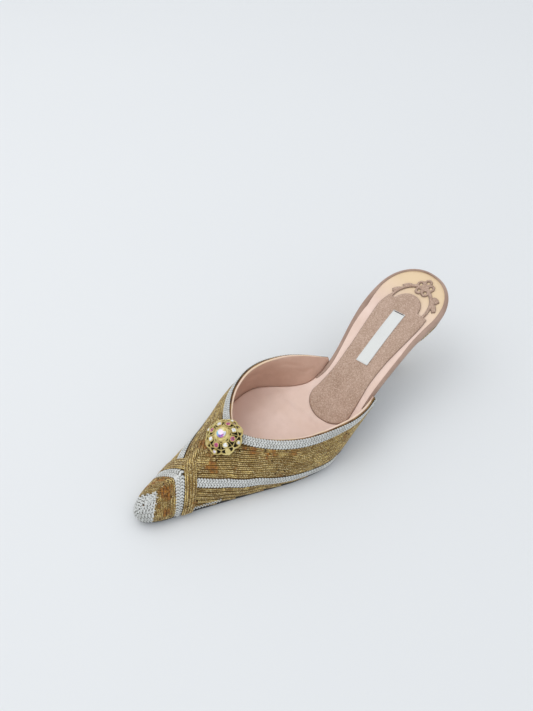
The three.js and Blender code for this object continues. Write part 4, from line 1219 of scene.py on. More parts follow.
# Upper
LINING_DROP, LINING_THICK = 1.05, 1.15
LINING_CREASES = rows("side s v along up height",
    (1, 3.2, 0.75, 0.9, 0.05, 0.5), (1, 5.4, 0.66, 1.4, 0.06, 0.5), (1, 7.2, 0.8, 0.7, 0.05, 0.45),
    (1, 6.2, 0.45, 1.1, 0.07, -0.6), (-1, 4.6, 0.7, 1.2, 0.06, 0.4), (-1, 7.4, 0.62, 0.9, 0.06, 0.45),
    (1, 2.1, 0.5, 0.6, 0.08, 0.4))
CORD_PITCH = 2.28
FIRST_CORD = 5.7
CORD_ROWS = 8
CORDS_NEAR, CORDS_LOW = 4, 5
CLEAR_OF_BRAID = 6.3
STRIPE_TO = 29.4
ARM_CORDS, CHEVRON_CORDS = 4, 7
CHEVRON_START = -0.13
ARM_REACH = 9.0
CORD_LIFT, CHEVRON_LIFT, BRAID_LIFT, TOE_LIFT = 0.22, 0.3, 0.5, 0.2
UNDER_LIFT, OVER_LIFT = 0.75, 1.35
TOPLINE_BRAID, SIDE_BRAID = 2.72, 26.8
BINDING = {"start": 0.12, "steps": 121, "tucked_to": 1.1, "tuck": 1.3, "slimmer": 0.55}
FOOT_BRAID = (11.3, 12.55)
TOE_LOOPS = (0.1, 0.28, 0.46, 0.64, 0.82, 0.97)


def between(edges, t):
    """Line across the forepart at a fraction t between an edge pair: section number at a height."""
    ridge = edges["rear"][0] + (edges["front"][0] - edges["rear"][0]) * t
    foot = edges["rear"][1] + (edges["front"][1] - edges["rear"][1]) * t
    return lambda v: ridge + (foot - ridge) * (1 - v)


def crease_lift(wall, s, v):
    """Soft ridges and troughs pressed into the lining."""
    lift = np.zeros(np.broadcast(s, v).shape)
    for crease in LINING_CREASES:
        if crease["side"] == wall.side:
            along_it = (s - crease["s"]) / crease["along"]
            across_it = (v - crease["v"] - 0.06 * np.sin(2.2 * s)) / crease["up"]
            lift += crease["height"] * np.exp(-along_it ** 2 - across_it ** 2)
    return lift


def upper_layer(name, high, low, material, creased=False):
    """One closed layer of the upper between two depths under its skin, both sides in one piece."""
    points, faces = [], []
    for wall in WALLS:
        s, v = wall.s[::2], wall.v[::2]
        place, normal = wall.place[::2, ::2], wall.normal[::2, ::2]
        lift = crease_lift(wall, s[:, None], v[None, :])[..., None] if creased else 0
        outer = place - normal * high
        inner = place - normal * (low - lift * 0.8)
        count_s, count_v = len(s), len(v)
        first = len(points)
        points += list(outer.reshape(-1, 3)) + list(inner.reshape(-1, 3))
        back = count_s * count_v
        for i in range(count_s - 1):
            for j in range(count_v - 1):
                a = first + i * count_v + j
                quad = (a, a + count_v, a + count_v + 1, a + 1)
                faces += [quad[::wall.side], tuple(q + back for q in reversed(quad))[::wall.side]]
            a = first + i * count_v
            faces.append((a, a + back, a + back + count_v, a + count_v)[::wall.side])
            if s[i + 1] <= APEX + 1e-6:
                a = first + i * count_v + count_v - 1
                faces.append((a, a + count_v, a + count_v + back, a + back)[::wall.side])
        for j in range(count_v - 1):
            a = first + j
            faces.append((a, a + 1, a + 1 + back, a + back)[::wall.side])
    return face_outwards(piece(name, points, faces, material, merge=0.02))


def clipped(places, stop):
    """The part of a row that lies behind the line stop(v)."""
    return np.array([p for p in places if p[0] <= stop(min(1.0, p[1]))])


def side_cords(wall):
    """Guides of one side's rows of gold cord, from the rear to the crossing."""
    guides = Guides()
    stop = between(CROSSING, 0.35)
    wide = [FIRST_CORD + CORD_PITCH * (k + 0.5) for k in range(-CORDS_NEAR, CORD_ROWS)]
    low = [STRIPE_TO + CORD_PITCH * (k + 0.55) for k in range(CORDS_LOW)]
    for k, distance in enumerate(wide + low):
        places = wall.row(distance)
        if k < CORDS_NEAR and len(places):
            places = places[wall.at(wall.below, *places.T) > CLEAR_OF_BRAID]
        places = clipped(places, stop)
        if len(places) < 8:
            continue
        guides.add(*on_wall(wall, places, CORD_LIFT), size=[0.9] + [1.0] * 7)
    return guides


def spread(before, line, after):
    """Distance between the neighbours of a line, measured across it."""
    way = unit(np.gradient(line, axis=0))
    gap = after - before
    return np.linalg.norm(gap - way * np.sum(gap * way, axis=1)[:, None], axis=1)


def arm_line(wall, other, t, lift):
    """Cord of the crossing: up from one side's foot, over the ridge and on along the other side's rows."""
    edge_at = between(CROSSING, t)
    heights = np.linspace(0.02, 1, 30)
    points, outward = on_wall(wall, [(edge_at(v), v) for v in heights], lift)
    at_ridge = edge_at(1.0)
    distance = float(other.at(other.fanned, at_ridge, 1.0))
    ahead = other.row(distance)[::-1]
    ahead = np.array([p for p in ahead if p[0] < at_ridge - 0.02 and p[1] < 0.995])
    rest, rest_out = on_wall(other, ahead, lift)
    reach = reach_along(rest)
    keep = reach < ARM_REACH
    drop = np.clip((reach[keep] - ARM_REACH + 3.0) / 3.0, 0, 1)[:, None]
    rest = rest[keep] - rest_out[keep] * drop * (lift + 0.5)
    return np.concatenate([points, rest]), np.concatenate([outward, rest_out[keep]])


def crossing_cords(wall, other, lift):
    guides = Guides()
    for k in range(ARM_CORDS):
        guides.add(*arm_line(wall, other, (k + 0.5) / ARM_CORDS, lift), smooth=6)
    return guides


def chevron_line(edges, t, lift):
    """Path from the medial foot over the ridge to the lateral foot."""
    edge_at = between(edges, t)
    heights = np.linspace(0.03, 1, 34)
    places = [(MEDIAL_WALL, edge_at(v), v) for v in heights] + [
        (LATERAL_WALL, edge_at(v), v) for v in heights[-2::-1]]
    return line_on(places, lift)


def chevron_band(edges, low, high, lift, width):
    """Middle line of part of a band over the forepart, and the size that fills it."""
    line, outward = chevron_line(edges, (low + high) / 2, lift)
    wide = spread(chevron_line(edges, low, lift)[0], line, chevron_line(edges, high, lift)[0])
    return line, outward, np.clip(wide / width, 0.6, 1.6)


def chevron_cords(width):
    guides = Guides()
    for k in range(CHEVRON_CORDS):
        low = CHEVRON_START + (1 - CHEVRON_START) * k / CHEVRON_CORDS
        high = low + (1 - CHEVRON_START) / CHEVRON_CORDS
        points, outward, size = chevron_band(GOLD_CHEVRON, low, high, CHEVRON_LIFT, width)
        guides.add(points, outward, smooth=3, size=list(size))
    return guides


def braid_guides(width):
    """The silver braid: along the topline, along each side, over the forepart and round the toe."""
    top, sides, front = Guides(), Guides(), Guides()
    for wall in WALLS:
        places = clipped(wall.row(TOPLINE_BRAID, fanned=False), between(CROSSING, 0.3))
        top.add(*on_wall(wall, places, BRAID_LIFT), size=[0.75] + [1] * 7, smooth=4)
        places = clipped(wall.row(SIDE_BRAID), between(CROSSING, 0.4))
        sides.add(*on_wall(wall, places, BRAID_LIFT), smooth=4)
        low = [(s, 0.08) for s in np.linspace(*FOOT_BRAID, 14)]
        sides.add(*on_wall(wall, low, 0.45), size=0.5)
    points, outward, size = chevron_band(SILVER_CHEVRON, -0.05, 0.98, 0.55, width)
    front.add(points, outward, size=list(size), smooth=7)
    for v in TOE_LOOPS:
        start = between(GOLD_CHEVRON, 1.06)(v)
        round_toe = [(MEDIAL_WALL, s, v) for s in np.linspace(start, TOE, 22)] + [
            (LATERAL_WALL, s, v) for s in np.linspace(TOE, start, 22)[1:]]
        front.add(*line_on(round_toe, TOE_LIFT), size=0.8, smooth=5)
    ridge = np.linspace(between(GOLD_CHEVRON, 1.12)(1.0), TOE - 0.2, 22)
    front.add(*on_wall(MEDIAL_WALL, [(s, 1.0) for s in ridge], -0.1), size=0.7)
    return top, sides, front


def topline_guides(depth):
    """Binding along the top of both sides, round the bottom of the V, tucked in at its two ends."""
    guides = Guides()
    steps = np.linspace(BINDING["start"], APEX, BINDING["steps"])
    line, outward, size = [], [], []
    for wall, order in ((MEDIAL_WALL, steps), (LATERAL_WALL, steps[::-1])):
        for s in order:
            top, under = wall.at(wall.place, s, 1.0), wall.at(wall.place, s, 0.97)
            rise = unit(top - under)
            tuck = max(0.0, 1 - s / BINDING["tucked_to"])
            line.append(top - wall.at(wall.normal, s, 1.0) * depth - rise * tuck ** 2 * BINDING["tuck"])
            outward.append(rise)
            size.append(1 - BINDING["slimmer"] * tuck)
    guides.add(line, outward, step=0.9, size=size, smooth=2)
    return guides


# Footbed, rim, sole
SEAT_DIP = {"x": 3, "y": 26, "reach": 15, "depth": 0.5}
INSOLE_CREASES = rows("x0 y0 x1 y1 width height",
    (23, 126.8, 4, 125.6, 1.1, 0.85), (5, 125.6, -15, 124.4, 1.0, 0.8), (-6, 124.2, -23, 123.0, 1.0, 0.75),
    (29, 139, 23.5, 124, 2.2, 0.6), (20, 131.5, -14, 129.8, 2.4, -0.5), (14, 138, -16, 135.5, 2.0, 0.35),
    (-28, 128, -20, 146, 2.4, 0.4), (6, 150, -12, 146, 2.6, 0.3))


def insole_lift(x, y):
    """Creases across the insole behind the ball of the foot, and the dip of the heel seat."""
    away_x, away_y = (x - SEAT_DIP["x"]) / SEAT_DIP["reach"], (y - SEAT_DIP["y"]) / SEAT_DIP["reach"]
    lift = -SEAT_DIP["depth"] * np.exp(-away_x ** 2 - away_y ** 2)
    for crease in INSOLE_CREASES:
        a, b = np.array([crease["x0"], crease["y0"]]), np.array([crease["x1"], crease["y1"]])
        way = (b - a) / np.dot(b - a, b - a)
        t = np.clip((x - a[0]) * way[0] + (y - a[1]) * way[1], 0, 1)
        bend = 0.5 * np.sin(5 * t + crease["y0"])
        away = np.hypot(x - a[0] - t * (b - a)[0], y - a[1] - t * (b - a)[1] + bend)
        fade = np.clip(4 * t * (1 - t) + 0.35, 0, 1)
        lift += crease["height"] * fade * np.exp(-(away / crease["width"]) ** 2)
    return lift


def sole_loop(thetas, offset, height):
    """Closed loop round a sole at an offset from the footbed's edge. offset and height may follow y."""
    line = []
    for side, order in ((MEDIAL_SIDE, thetas), (LATERAL_SIDE, thetas[::-1])):
        for theta in order:
            y = edge_raw(side, theta)[1]
            plan = edge(side, theta, offset(y) if callable(offset) else offset)
            line.append([*plan, height(y)])
    return np.array(line)


def sole_slab(name, thetas, profile, columns, material, top=lambda x, y: 0.0):
    """Closed slab with rounded edges. profile is rows of (offset, height) from the underside up."""
    count = len(thetas)
    loops = [sole_loop(thetas, offset, height) for offset, height in profile]
    points, faces = loft(loops, caps=False)
    for loop, flip in ((len(profile) - 1, False), (0, True)):
        offset, height = profile[loop]
        ring = loops[loop]
        medial, lateral = ring[:count], ring[count:][::-1]
        across = np.linspace(0, 1, columns + 1)[None, :, None]
        sheet = lateral[:, None] * (1 - across) + medial[:, None] * across
        y = np.clip(sheet[..., 1], 0, FOOTBED_END)
        if not flip:
            inside = np.clip(6 * across[..., 0] * (1 - across[..., 0]), 0, 1)
            sheet[:, :, 2] = height(y) + top(sheet[..., 0], y) * inside
            sheet[:, 0, 2], sheet[:, -1, 2] = lateral[:, 2], medial[:, 2]
        first = len(points)
        points += list(sheet.reshape(-1, 3))
        for i in range(count - 1):
            for j in range(columns):
                a = first + i * (columns + 1) + j
                quad = (a, a + 1, a + columns + 2, a + columns + 1)
                faces.append(quad[::-1] if flip else quad)
    return face_outwards(piece(name, points, faces, material, merge=0.01))


INSOLE_GRID, OUTSOLE_GRID = {"along": 221, "across": 44}, {"along": 150, "across": 16}
INSOLE_EDGE = (
    (-1.2, -FOOTBED_THICK), (-0.4, -2.9), (-0.05, -2.4), (0.0, -1.6), (-0.05, -0.8), (-0.35, -0.25),
    (-0.9, 0.0), (-1.6, 0.0))
OUTSOLE_EDGE = ((-0.6, 0.0), (-0.15, 0.1), (0.0, 0.35), (0.0, 0.75), (-0.2, 1.0))
RIM_WIDTHS = {
    MEDIAL_SIDE: ((0, 0.5), (28, 0.55), (40, 0.82), (48, 1.0), (56, 0.92), (66, 0.8), (80, 0.66), (94, 0.64),
                  (104, 0.35)),
    LATERAL_SIDE: ((0, 0.5), (22, 0.68), (36, 0.68), (46, 0.6), (60, 0.46), (76, 0.42), (92, 0.4),
                   (100, 0.3))}


def rim_wrap(widest, material):
    """Thin leather wrapped round the edge of the footbed from one side of the waist round the heel."""
    rings = []
    medial_end, lateral_end = [edge_theta(RIM_WIDTHS[side][-1][0]) for side in (MEDIAL_SIDE, LATERAL_SIDE)]
    steps = [(MEDIAL_SIDE, t) for t in np.linspace(medial_end, 0, 90)]
    steps += [(LATERAL_SIDE, t) for t in np.linspace(0, lateral_end, 86)[1:]]
    for side, theta in steps:
        y = edge_raw(side, theta)[1]
        wide = widest * np.interp(y, *zip(*RIM_WIDTHS[side]))
        thick = 1 + 0.12 * math.sin(9 * theta + side)
        section = (
            (wide, -0.06), (wide - 0.12, 0.3 * thick), (wide * 0.62, 0.42 * thick), (1.1, 0.4), (0.45, 0.2),
            (0.0, -0.2), (-0.28, -0.8), (-0.34, -1.5), (-0.26, -2.3), (0.05, -2.9), (0.7, -3.12), (1.5, -3.1),
            (1.5, -2.8), (0.5, -2.3), (0.4, -1.2), (0.9, -0.5), (wide * 0.7, -0.3))
        ring = []
        for inset, height in section:
            plan = edge(side, max(theta, 1e-4), -inset)
            ring.append([*plan, top_z(y) + height * steep(y)])
        rings.append(np.array(ring))
    points, faces = loft(rings)
    return face_outwards(piece("rim_wrap", points, faces, material))


# Sock and label
SOCK_BOX, SOCK_CELL = (-31, 21, 2, 125), 0.55
LABEL_COLUMNS, LABEL_ROWS = 15, 61


def oval_depth(x, y, centre_x, centre_y, half_x, half_y, way=0.0):
    """Roughly how far inside an oval each point lies."""
    turn = math.radians(way)
    u = (x - centre_x) * math.cos(turn) + (y - centre_y) * math.sin(turn)
    w = -(x - centre_x) * math.sin(turn) + (y - centre_y) * math.cos(turn)
    return (1 - np.hypot(u / half_x, w / half_y)) * min(half_x, half_y)


def round_depth(x, y, centre_x, centre_y, radius):
    return radius - np.hypot(x - centre_x, y - centre_y)


def sock_depth(x, y):
    """How far inside the sock each point lies: the body, its domed rear and the cut-out sprig behind it."""
    shape = y.shape
    rows_y = np.clip(y, SOCK[0]["y"], SOCK[-1]["y"]).ravel()
    medial = np.array([akima(SOCK, "medial", v) for v in rows_y]).reshape(shape)
    lateral = np.array([akima(SOCK, "lateral", v) for v in rows_y]).reshape(shape)
    front = SOCK[-1]["y"]
    body = np.minimum(np.minimum(medial - x, x - lateral), y - SOCK[0]["y"])
    left, right = SOCK[-1]["lateral"], SOCK[-1]["medial"]
    middle, half = (right + left) / 2, (right - left) / 2
    nose = oval_depth(x, y, middle, front, half, SOCK_FRONT - front)
    depth = np.where(y > front, np.minimum(nose, half), body)
    depth = np.maximum(depth, round_depth(x, y, DOME["x"], DOME["y"], DOME["radius"]))
    thick = VINE["width"] / 2
    bend = np.hypot((x - VINE["x"]) / (VINE["rx"] + thick), (y - VINE["y"]) / (VINE["ry"] + thick))
    vine = thick - np.abs(bend - 1) * (VINE["rx"] + thick)
    depth = np.maximum(depth, np.minimum(vine, VINE["y"] + 2.5 - y))
    for leaf in LEAVES:
        way = math.radians(leaf["way"])
        blade = oval_depth(x, y, leaf["x"], leaf["y"], leaf["length"] / 2, leaf["width"] / 2, leaf["way"])
        if leaf["notch"]:
            tip = leaf["length"] / 2 - 0.1
            tip_x, tip_y = leaf["x"] + tip * math.cos(way), leaf["y"] + tip * math.sin(way)
            blade = np.minimum(blade, -round_depth(x, y, tip_x, tip_y, leaf["notch"]))
        depth = np.maximum(depth, blade)
    cx, cy, reach = FLOWER["x"], FLOWER["y"], FLOWER["reach"]
    depth = np.maximum(depth, round_depth(x, y, cx, cy, FLOWER["eye"]))
    turns = [math.radians(FLOWER["start"] + 360 * i / FLOWER["petals"]) for i in range(FLOWER["petals"])]
    petals = [(cx + reach * math.cos(a), cy + reach * math.sin(a)) for a in turns]
    for px, py in petals:
        depth = np.maximum(depth, round_depth(x, y, px, py, FLOWER["petal"]))
    for px, py in petals:
        depth = np.minimum(depth, -round_depth(x, y, px, py, FLOWER["hole"]))
    return depth


def on_footbed(plan, height):
    y = plan[:, 1]
    return np.column_stack([plan, top_z(y) + height * steep(y)])


def suede_sock(material):
    plan, faces = cut_sheet(sock_depth, SOCK_BOX, SOCK_CELL)
    depth = np.maximum(sock_depth(plan[:, 0], plan[:, 1]), 0)
    pillow = 1 - (1 - np.clip(depth / 0.7, 0, 1)) ** 2
    over = on_footbed(plan, 0.42 + 0.58 * pillow)
    under = on_footbed(plan, 0.02)
    return face_outwards(thick_sheet("sock_suede", plan, faces, over, under, material,
                                     {"rim": 1 - np.clip(depth / 0.45, 0, 1)}))


def bare_label(material, thread):
    """Woven tape with no lettering, sewn on across its rear end."""
    turn = math.radians(LABEL["turn"])
    half_wide, half_long = LABEL["width"] / 2, LABEL["length"] / 2
    columns, lengths = np.linspace(-1, 1, LABEL_COLUMNS), np.linspace(-1, 1, LABEL_ROWS)
    u, w = np.meshgrid(columns, lengths, indexing="ij")
    on_tape = lambda across, ahead: np.column_stack([
        (LABEL["x"] + across * math.cos(turn) - ahead * math.sin(turn)).ravel(),
        (LABEL["y"] + across * math.sin(turn) + ahead * math.cos(turn)).ravel()])
    plan = on_tape(u * half_wide, w * half_long)
    curl = (0.16 * np.abs(w) ** 10 + 0.10 * np.abs(u) ** 6 + 0.04 * np.sin(w * 9)).ravel()
    starts = [i * LABEL_ROWS + j for i in range(LABEL_COLUMNS - 1) for j in range(LABEL_ROWS - 1)]
    faces = [(a, a + LABEL_ROWS, a + LABEL_ROWS + 1, a + 1) for a in starts]
    over, under = on_footbed(plan, 1.42 + curl), on_footbed(plan, 1.02 + curl)
    tape = thick_sheet("label_tape", plan, faces, over, under, material)
    guides = Guides()
    for inset in (0.35, 0.75):
        line = on_tape(np.linspace(-0.97, 0.97, 12) * half_wide, inset - half_long)
        guides.add(on_footbed(line, 1.46), np.tile([0.0, 0.3, 0.95], (12, 1)), step=0.6)
    stitches = grown(
        guides.build("label_stitches"), "thread", Width=0.0004, Height=0.0003, Sides=6, Material=thread)
    return face_outwards(tape), stitches


# Heel
HEEL_SEAT_CLEAR = 0.3
HEEL_CORDS = 64
HEEL_LEVELS = 66
TUCK_ROWS, COVER_TUCK, CORD_TUCK = 2.2, 1.6, 1.8
HEEL_CORD_LIFT = 0.2
LEAST_FILL = 0.74


def heel_row(t):
    """The heel's section at a row number that may lie between rows."""
    table = [dict(row) for row in HEEL]
    middle = (table[0]["back"] + table[0]["front"]) / 2
    table[0]["z"] = float(footbed_under(middle)) - HEEL_SEAT_CLEAR
    return {key: along(table, key, t) for key in ("z", "back", "front", "x", "half", "slope", "square")}


def heel_ring(t, sides, grow=0.0):
    row = heel_row(t)
    middle_y, length = (row["back"] + row["front"]) / 2, (row["front"] - row["back"]) / 2
    seat = lambda y: footbed_under(y) - HEEL_SEAT_CLEAR
    ring = []
    for i in range(sides):
        turn = 2 * math.pi * i / sides
        c, s = math.cos(turn), math.sin(turn)
        y = middle_y + length * (s ** row["square"] if s > 1e-9 else s)
        x = row["x"] + row["half"] * math.copysign(abs(c) ** (row["square"] if s > 1e-9 else 0.95), c)
        ring.append([x, y, row["z"] + row["slope"] * (seat(y) - seat(middle_y))])
    ring = np.array(ring)
    if grow:
        flat = unit(np.roll(ring, -1, 0) - np.roll(ring, 1, 0))
        ring = ring + np.cross(flat, [0, 0, 1]) * grow
    return ring


def even_ring(t, count):
    """The heel's section with its points evenly spaced, and each point's outward direction."""
    fine = heel_ring(t, 180)
    ring = np.vstack([fine, fine[:1]])
    reach = reach_along(ring)
    at = np.linspace(0, reach[-1], count, endpoint=False)
    even = read_at(ring, reach, at)
    way = unit(np.roll(even, -1, 0) - np.roll(even, 1, 0))
    return even, unit(np.cross(way, [0, 0, 1])), reach[-1] / count


def seat_tuck(t):
    """How far the cover is drawn in under the seat at a row number, from 1 at the seat to nothing."""
    return max(0.0, 1 - t / TUCK_ROWS)


def heel_cover(material):
    rings = [heel_ring(t, 72, -COVER_TUCK * seat_tuck(t)) for t in np.linspace(0, len(HEEL) - 1, 57)]
    points, faces = loft(rings[::-1])
    return face_outwards(piece("heel_cover", points, faces, material))


def heel_cords(count, width):
    """Cords down the heel; every other one ends where the stem gets too slim for all of them."""
    guides = Guides()
    levels = np.linspace(0.02, len(HEEL) - 1.02, HEEL_LEVELS)
    tables = [even_ring(t, count) for t in levels]
    least = LEAST_FILL * width
    for n in range(count):
        doubling = 1
        while n % (doubling * 2) == 0 and doubling < 8:
            doubling *= 2
        line = [(ring[n], out[n]) for ring, out, _ in tables]
        stop = len(line)
        for i, (_, _, gap) in enumerate(tables):
            if gap * doubling < least:
                stop = i
                break
        if stop < 6:
            continue
        sizes = []
        for i in range(stop):
            gap, step = tables[i][2], 1
            while gap * step < least:
                step *= 2
            sizes.append(np.clip(gap * step / width, 0.7, 1.5))
        if stop < len(line):
            sizes[-3:] = [size * f for size, f in zip(sizes[-3:], (0.85, 0.65, 0.4))]
        off = [HEEL_CORD_LIFT - CORD_TUCK * seat_tuck(t) for t in levels]
        points = np.array([p + o * lift for (p, o), lift in zip(line[:stop], off)])
        guides.add(points, np.array([o for _, o in line[:stop]]), step=0.8, size=sizes)
    return guides


# Rosette
DOME_CURVE = (ROSETTE["radius"] ** 2 + ROSETTE["rise"] ** 2) / (2 * ROSETTE["rise"])
ROSETTE_PLACE = Matrix.Translation((ROSETTE["x"], ROSETTE["y"], ROSETTE["z"])) @ Matrix.Rotation(
    -math.radians(ROSETTE["tilt"]), 4, "X")
LOBES_START = 21
STONE_ROWS = rows("name radius ring count seat",
    ("inner", 1.45, CUP_RING, 8, 0.75), ("outer", 1.15, LOOP_RING, 4, 0.5))
PLATE_BOX, PLATE_CELL, PLATE_SUNK, BACKING_SUNK = (-13.0, 13.0, -13.0, 13.0), 0.17, 0.15, 1.15
FIELD_RADIUS, CUP_RADIUS, SEAT_RADII = 5.1, 1.62, (1.35, 1.78)
LOBE = {"ring": 8.7, "long": 3.35, "wide": 4.6, "wire": 0.38, "spoke": 0.22, "bar": 9.2}
BEZEL_STEPS = ((3.8, 0.7, 0.6), (4.9, 0.3, 0.15))
CENTRE_STONE = {"radius": 3.1, "seat": 1.0}
TABLE_TONE = 0.97


def dome_z(r):
    return ROSETTE["rise"] - DOME_CURVE + np.sqrt(DOME_CURVE ** 2 - np.asarray(r) ** 2)


def on_dome(ring, bearing):
    """Frame on the rosette's dome: its Z along the dome's normal."""
    turned = ROSETTE_PLACE @ Matrix.Rotation(math.radians(bearing), 4, "Z")
    tilted = Matrix.Rotation(math.asin(ring / DOME_CURVE), 4, "Y")
    return turned @ Matrix.Translation((ring, 0, float(dome_z(ring)))) @ tilted


def dome_points(plan, height):
    """Points on the dome at a height off it, in the shoe's frame."""
    r = np.hypot(plan[:, 0], plan[:, 1])
    normal = np.column_stack([plan[:, 0], plan[:, 1], np.sqrt(DOME_CURVE ** 2 - r ** 2)]) / DOME_CURVE
    local = np.column_stack([plan, dome_z(r)]) + normal * np.broadcast_to(height, r.shape)[:, None]
    turn = np.array(ROSETTE_PLACE.to_3x3())
    return local @ turn.T + np.array(ROSETTE_PLACE.translation)


def filigree_depth(lobes):
    """How far inside the pierced plate's metal each plan point lies: a round field and a ring of lobes parted
    by spokes, each with a cup for a stone and, by turns, a small seat or a plain disc outside it."""
    def depth(x, y):
        metal = round_depth(x, y, 0, 0, FIELD_RADIUS)
        half = math.pi / lobes
        for i in range(lobes):
            a = math.radians(LOBES_START + 360 * i / lobes)
            u, w = x * math.cos(a) + y * math.sin(a), -x * math.sin(a) + y * math.cos(a)
            border = u * math.sin(half) - np.abs(w) * math.cos(half)
            lobe = np.hypot((u - LOBE["ring"]) / LOBE["long"], w / LOBE["wide"])
            rim = np.minimum(LOBE["wire"] - np.abs(lobe - 1) * LOBE["long"], border + LOBE["wire"])
            spoke = np.minimum(LOBE["spoke"] - np.abs(border), np.minimum(u, LOBE["long"] * (1 - lobe)))
            bar = np.minimum(0.26 - np.abs(u - LOBE["bar"]), border)
            metal = np.maximum.reduce([
                metal, rim, spoke, bar, round_depth(u, w, CUP_RING, 0, CUP_RADIUS),
                round_depth(u, w, LOOP_RING, 0, SEAT_RADII[i % 2])])
        return metal
    return depth


def pierced_plate(loops, thick, material):
    field = filigree_depth(loops)
    plan, faces = cut_sheet(field, PLATE_BOX, PLATE_CELL)
    depth = np.maximum(field(plan[:, 0], plan[:, 1]), 0)
    round_ = np.sqrt(1 - (1 - np.clip(depth / 0.34, 0, 1)) ** 2)
    r = np.hypot(plan[:, 0], plan[:, 1])
    bezel = sum(high * np.exp(-((r - ring) / wide) ** 4) for ring, wide, high in BEZEL_STEPS)
    over = dome_points(plan, -PLATE_SUNK + (thick * 0.62) * round_ + bezel)
    under = dome_points(plan, -PLATE_SUNK - thick * 0.35)
    return face_outwards(thick_sheet("rosette", plan, faces, over, under, material))


def rosette_backing(material):
    """Dark dome under the pierced plate, its darkness painted shade seen through the openings."""
    sides, rings = 64, []
    for r in (11.3, 11.0, 9.5, 7.0, 4.5, 2.0):
        turns = [2 * math.pi * i / sides for i in range(sides)]
        plan = np.array([(r * math.cos(turn), r * math.sin(turn)) for turn in turns])
        rings.append(dome_points(plan, -BACKING_SUNK))
    lower = [np.array(rings[0]) - np.array(ROSETTE_PLACE.to_3x3() @ Vector((0, 0, 1.0)))]
    points, faces = loft([*lower, *rings])
    return face_outwards(piece("rosette_backing", points, faces, material))


def seats():
    """Every stone's frame, radius and kind."""
    raised = lambda place, seat: place @ Matrix.Translation((0, 0, seat))
    found = [(raised(on_dome(0, 0), CENTRE_STONE["seat"]), CENTRE_STONE["radius"], "centre")]
    for row in STONE_ROWS:
        for i in range(row["count"]):
            place = raised(on_dome(row["ring"], LOBES_START + 360 * i / row["count"]), row["seat"])
            found.append((place, row["radius"], "pink" if row["name"] == "inner" and i % 2 == 0 else "clear"))
    return found


def settings_guides():
    """One point a stone for the wire rings: its middle, axis and size."""
    points, out, across, size = [], [], [], []
    for place, radius, _ in seats():
        turn = place.to_3x3()
        points.append(place @ Vector((0, 0, -0.05 * radius)))
        out.append(turn @ Vector((0, 0, 1)))
        across.append(turn @ Vector((1, 0, 0)))
        size.append((radius + 0.22) * MM)
    return piece("settings", np.array(points), (), None, attributes={
        "out": np.array(out), "across": np.array(across), "size": np.array(size)})


def cut_stone(sides):
    """Points and flat facets of a cut stone of radius 1 with its girdle just over its middle."""
    work = bmesh.new()
    for r, z, n, shift in ((0.56, 0.5, sides, 0), (0.82, 0.32, sides, 0.5), (1.0, 0.12, sides * 2, 0.5),
                           (0.62, -0.22, sides, 0.5)):
        for i in range(n):
            turn = 2 * math.pi * (i + shift) / n
            work.verts.new((r * math.cos(turn), r * math.sin(turn), z))
    work.verts.new((0, 0, -0.5))
    bmesh.ops.convex_hull(work, input=work.verts)
    bmesh.ops.dissolve_limit(work, angle_limit=0.02, verts=work.verts, edges=work.edges)
    work.verts.index_update()
    points = [tuple(v.co) for v in work.verts]
    faces = [[v.index for v in face.verts] for face in work.faces]
    work.free()
    return points, faces


def stones(name, kind, material, seed):
    """All stones of a kind as one piece, with a number on each facet that picks its colour from painted
    reflections: random on the small stones, by angle round the centre stone.
    """
    pick = np.random.default_rng(seed)
    points, faces, facets = [], [], []
    for place, radius, which in seats():
        if which != kind:
            continue
        cut, sides = cut_stone(10 if kind == "centre" else 8)
        spun = place @ Matrix.Rotation(pick.uniform(0, 1), 4, "Z") @ Matrix.Scale(radius, 4)
        first = len(points)
        points += [spun @ Vector(p) for p in cut]
        faces += [[first + i for i in face] for face in sides]
        if kind == "centre":
            middles = [spun.to_3x3() @ Vector(np.mean([cut[i] for i in face], axis=0)) for face in sides]
            facets += [math.atan2(m.y, m.x) / (2 * math.pi) % 1 if math.hypot(m.x, m.y) > 0.5 else TABLE_TONE
                       for m in middles]
        else:
            facets += list(pick.random(len(sides)))
    made = face_outwards(piece(name, np.array([tuple(p) for p in points]), faces, material, smooth=False))
    layer = made.data.attributes.new("facet", "FLOAT", "FACE")
    layer.data.foreach_set("value", facets)
    return made


def corded(guides, name):
    """Gold cord along guides."""
    look = bpy.context.scene.mule_cords
    return grown(guides.build(name), "cord", Width=look.width, Base_Height=look.height, Pitch=look.stitch,
                 Material=finish("gold cord"))


# Operators
class MULE_OT_upper(bpy.types.Operator):
    """Build the upper's ground cloth and its leather lining"""
    bl_idname = "mule.upper"
    bl_label = "Upper and lining"
    bl_options = {"REGISTER", "UNDO"}

    def execute(self, context):
        dress(upper_layer("upper_ground", 0.0, 1.0, finish("ground")), "upper", "upper")
        inside = LINING_DROP + LINING_THICK
        lining = upper_layer("upper_lining", LINING_DROP, inside, finish("lining"), creased=True)
        dress(lining, "upper", "upper")
        return {"FINISHED"}


class MULE_OT_cords(bpy.types.Operator):
    """Lay the gold cords on both sides, over the forepart and in the crossing"""
    bl_idname = "mule.cords"
    bl_label = "Gold cords"
    bl_options = {"REGISTER", "UNDO"}

    def execute(self, context):
        sets = {"cords_medial": side_cords(MEDIAL_WALL), "cords_lateral": side_cords(LATERAL_WALL),
                "cords_crossing_under": crossing_cords(MEDIAL_WALL, LATERAL_WALL, UNDER_LIFT),
                "cords_crossing_over": crossing_cords(LATERAL_WALL, MEDIAL_WALL, OVER_LIFT),
                "cords_front": chevron_cords(context.scene.mule_cords.width / MM)}
        for name, guides in sets.items():
            dress(corded(guides, name), "upper", "upper")
        return {"FINISHED"}


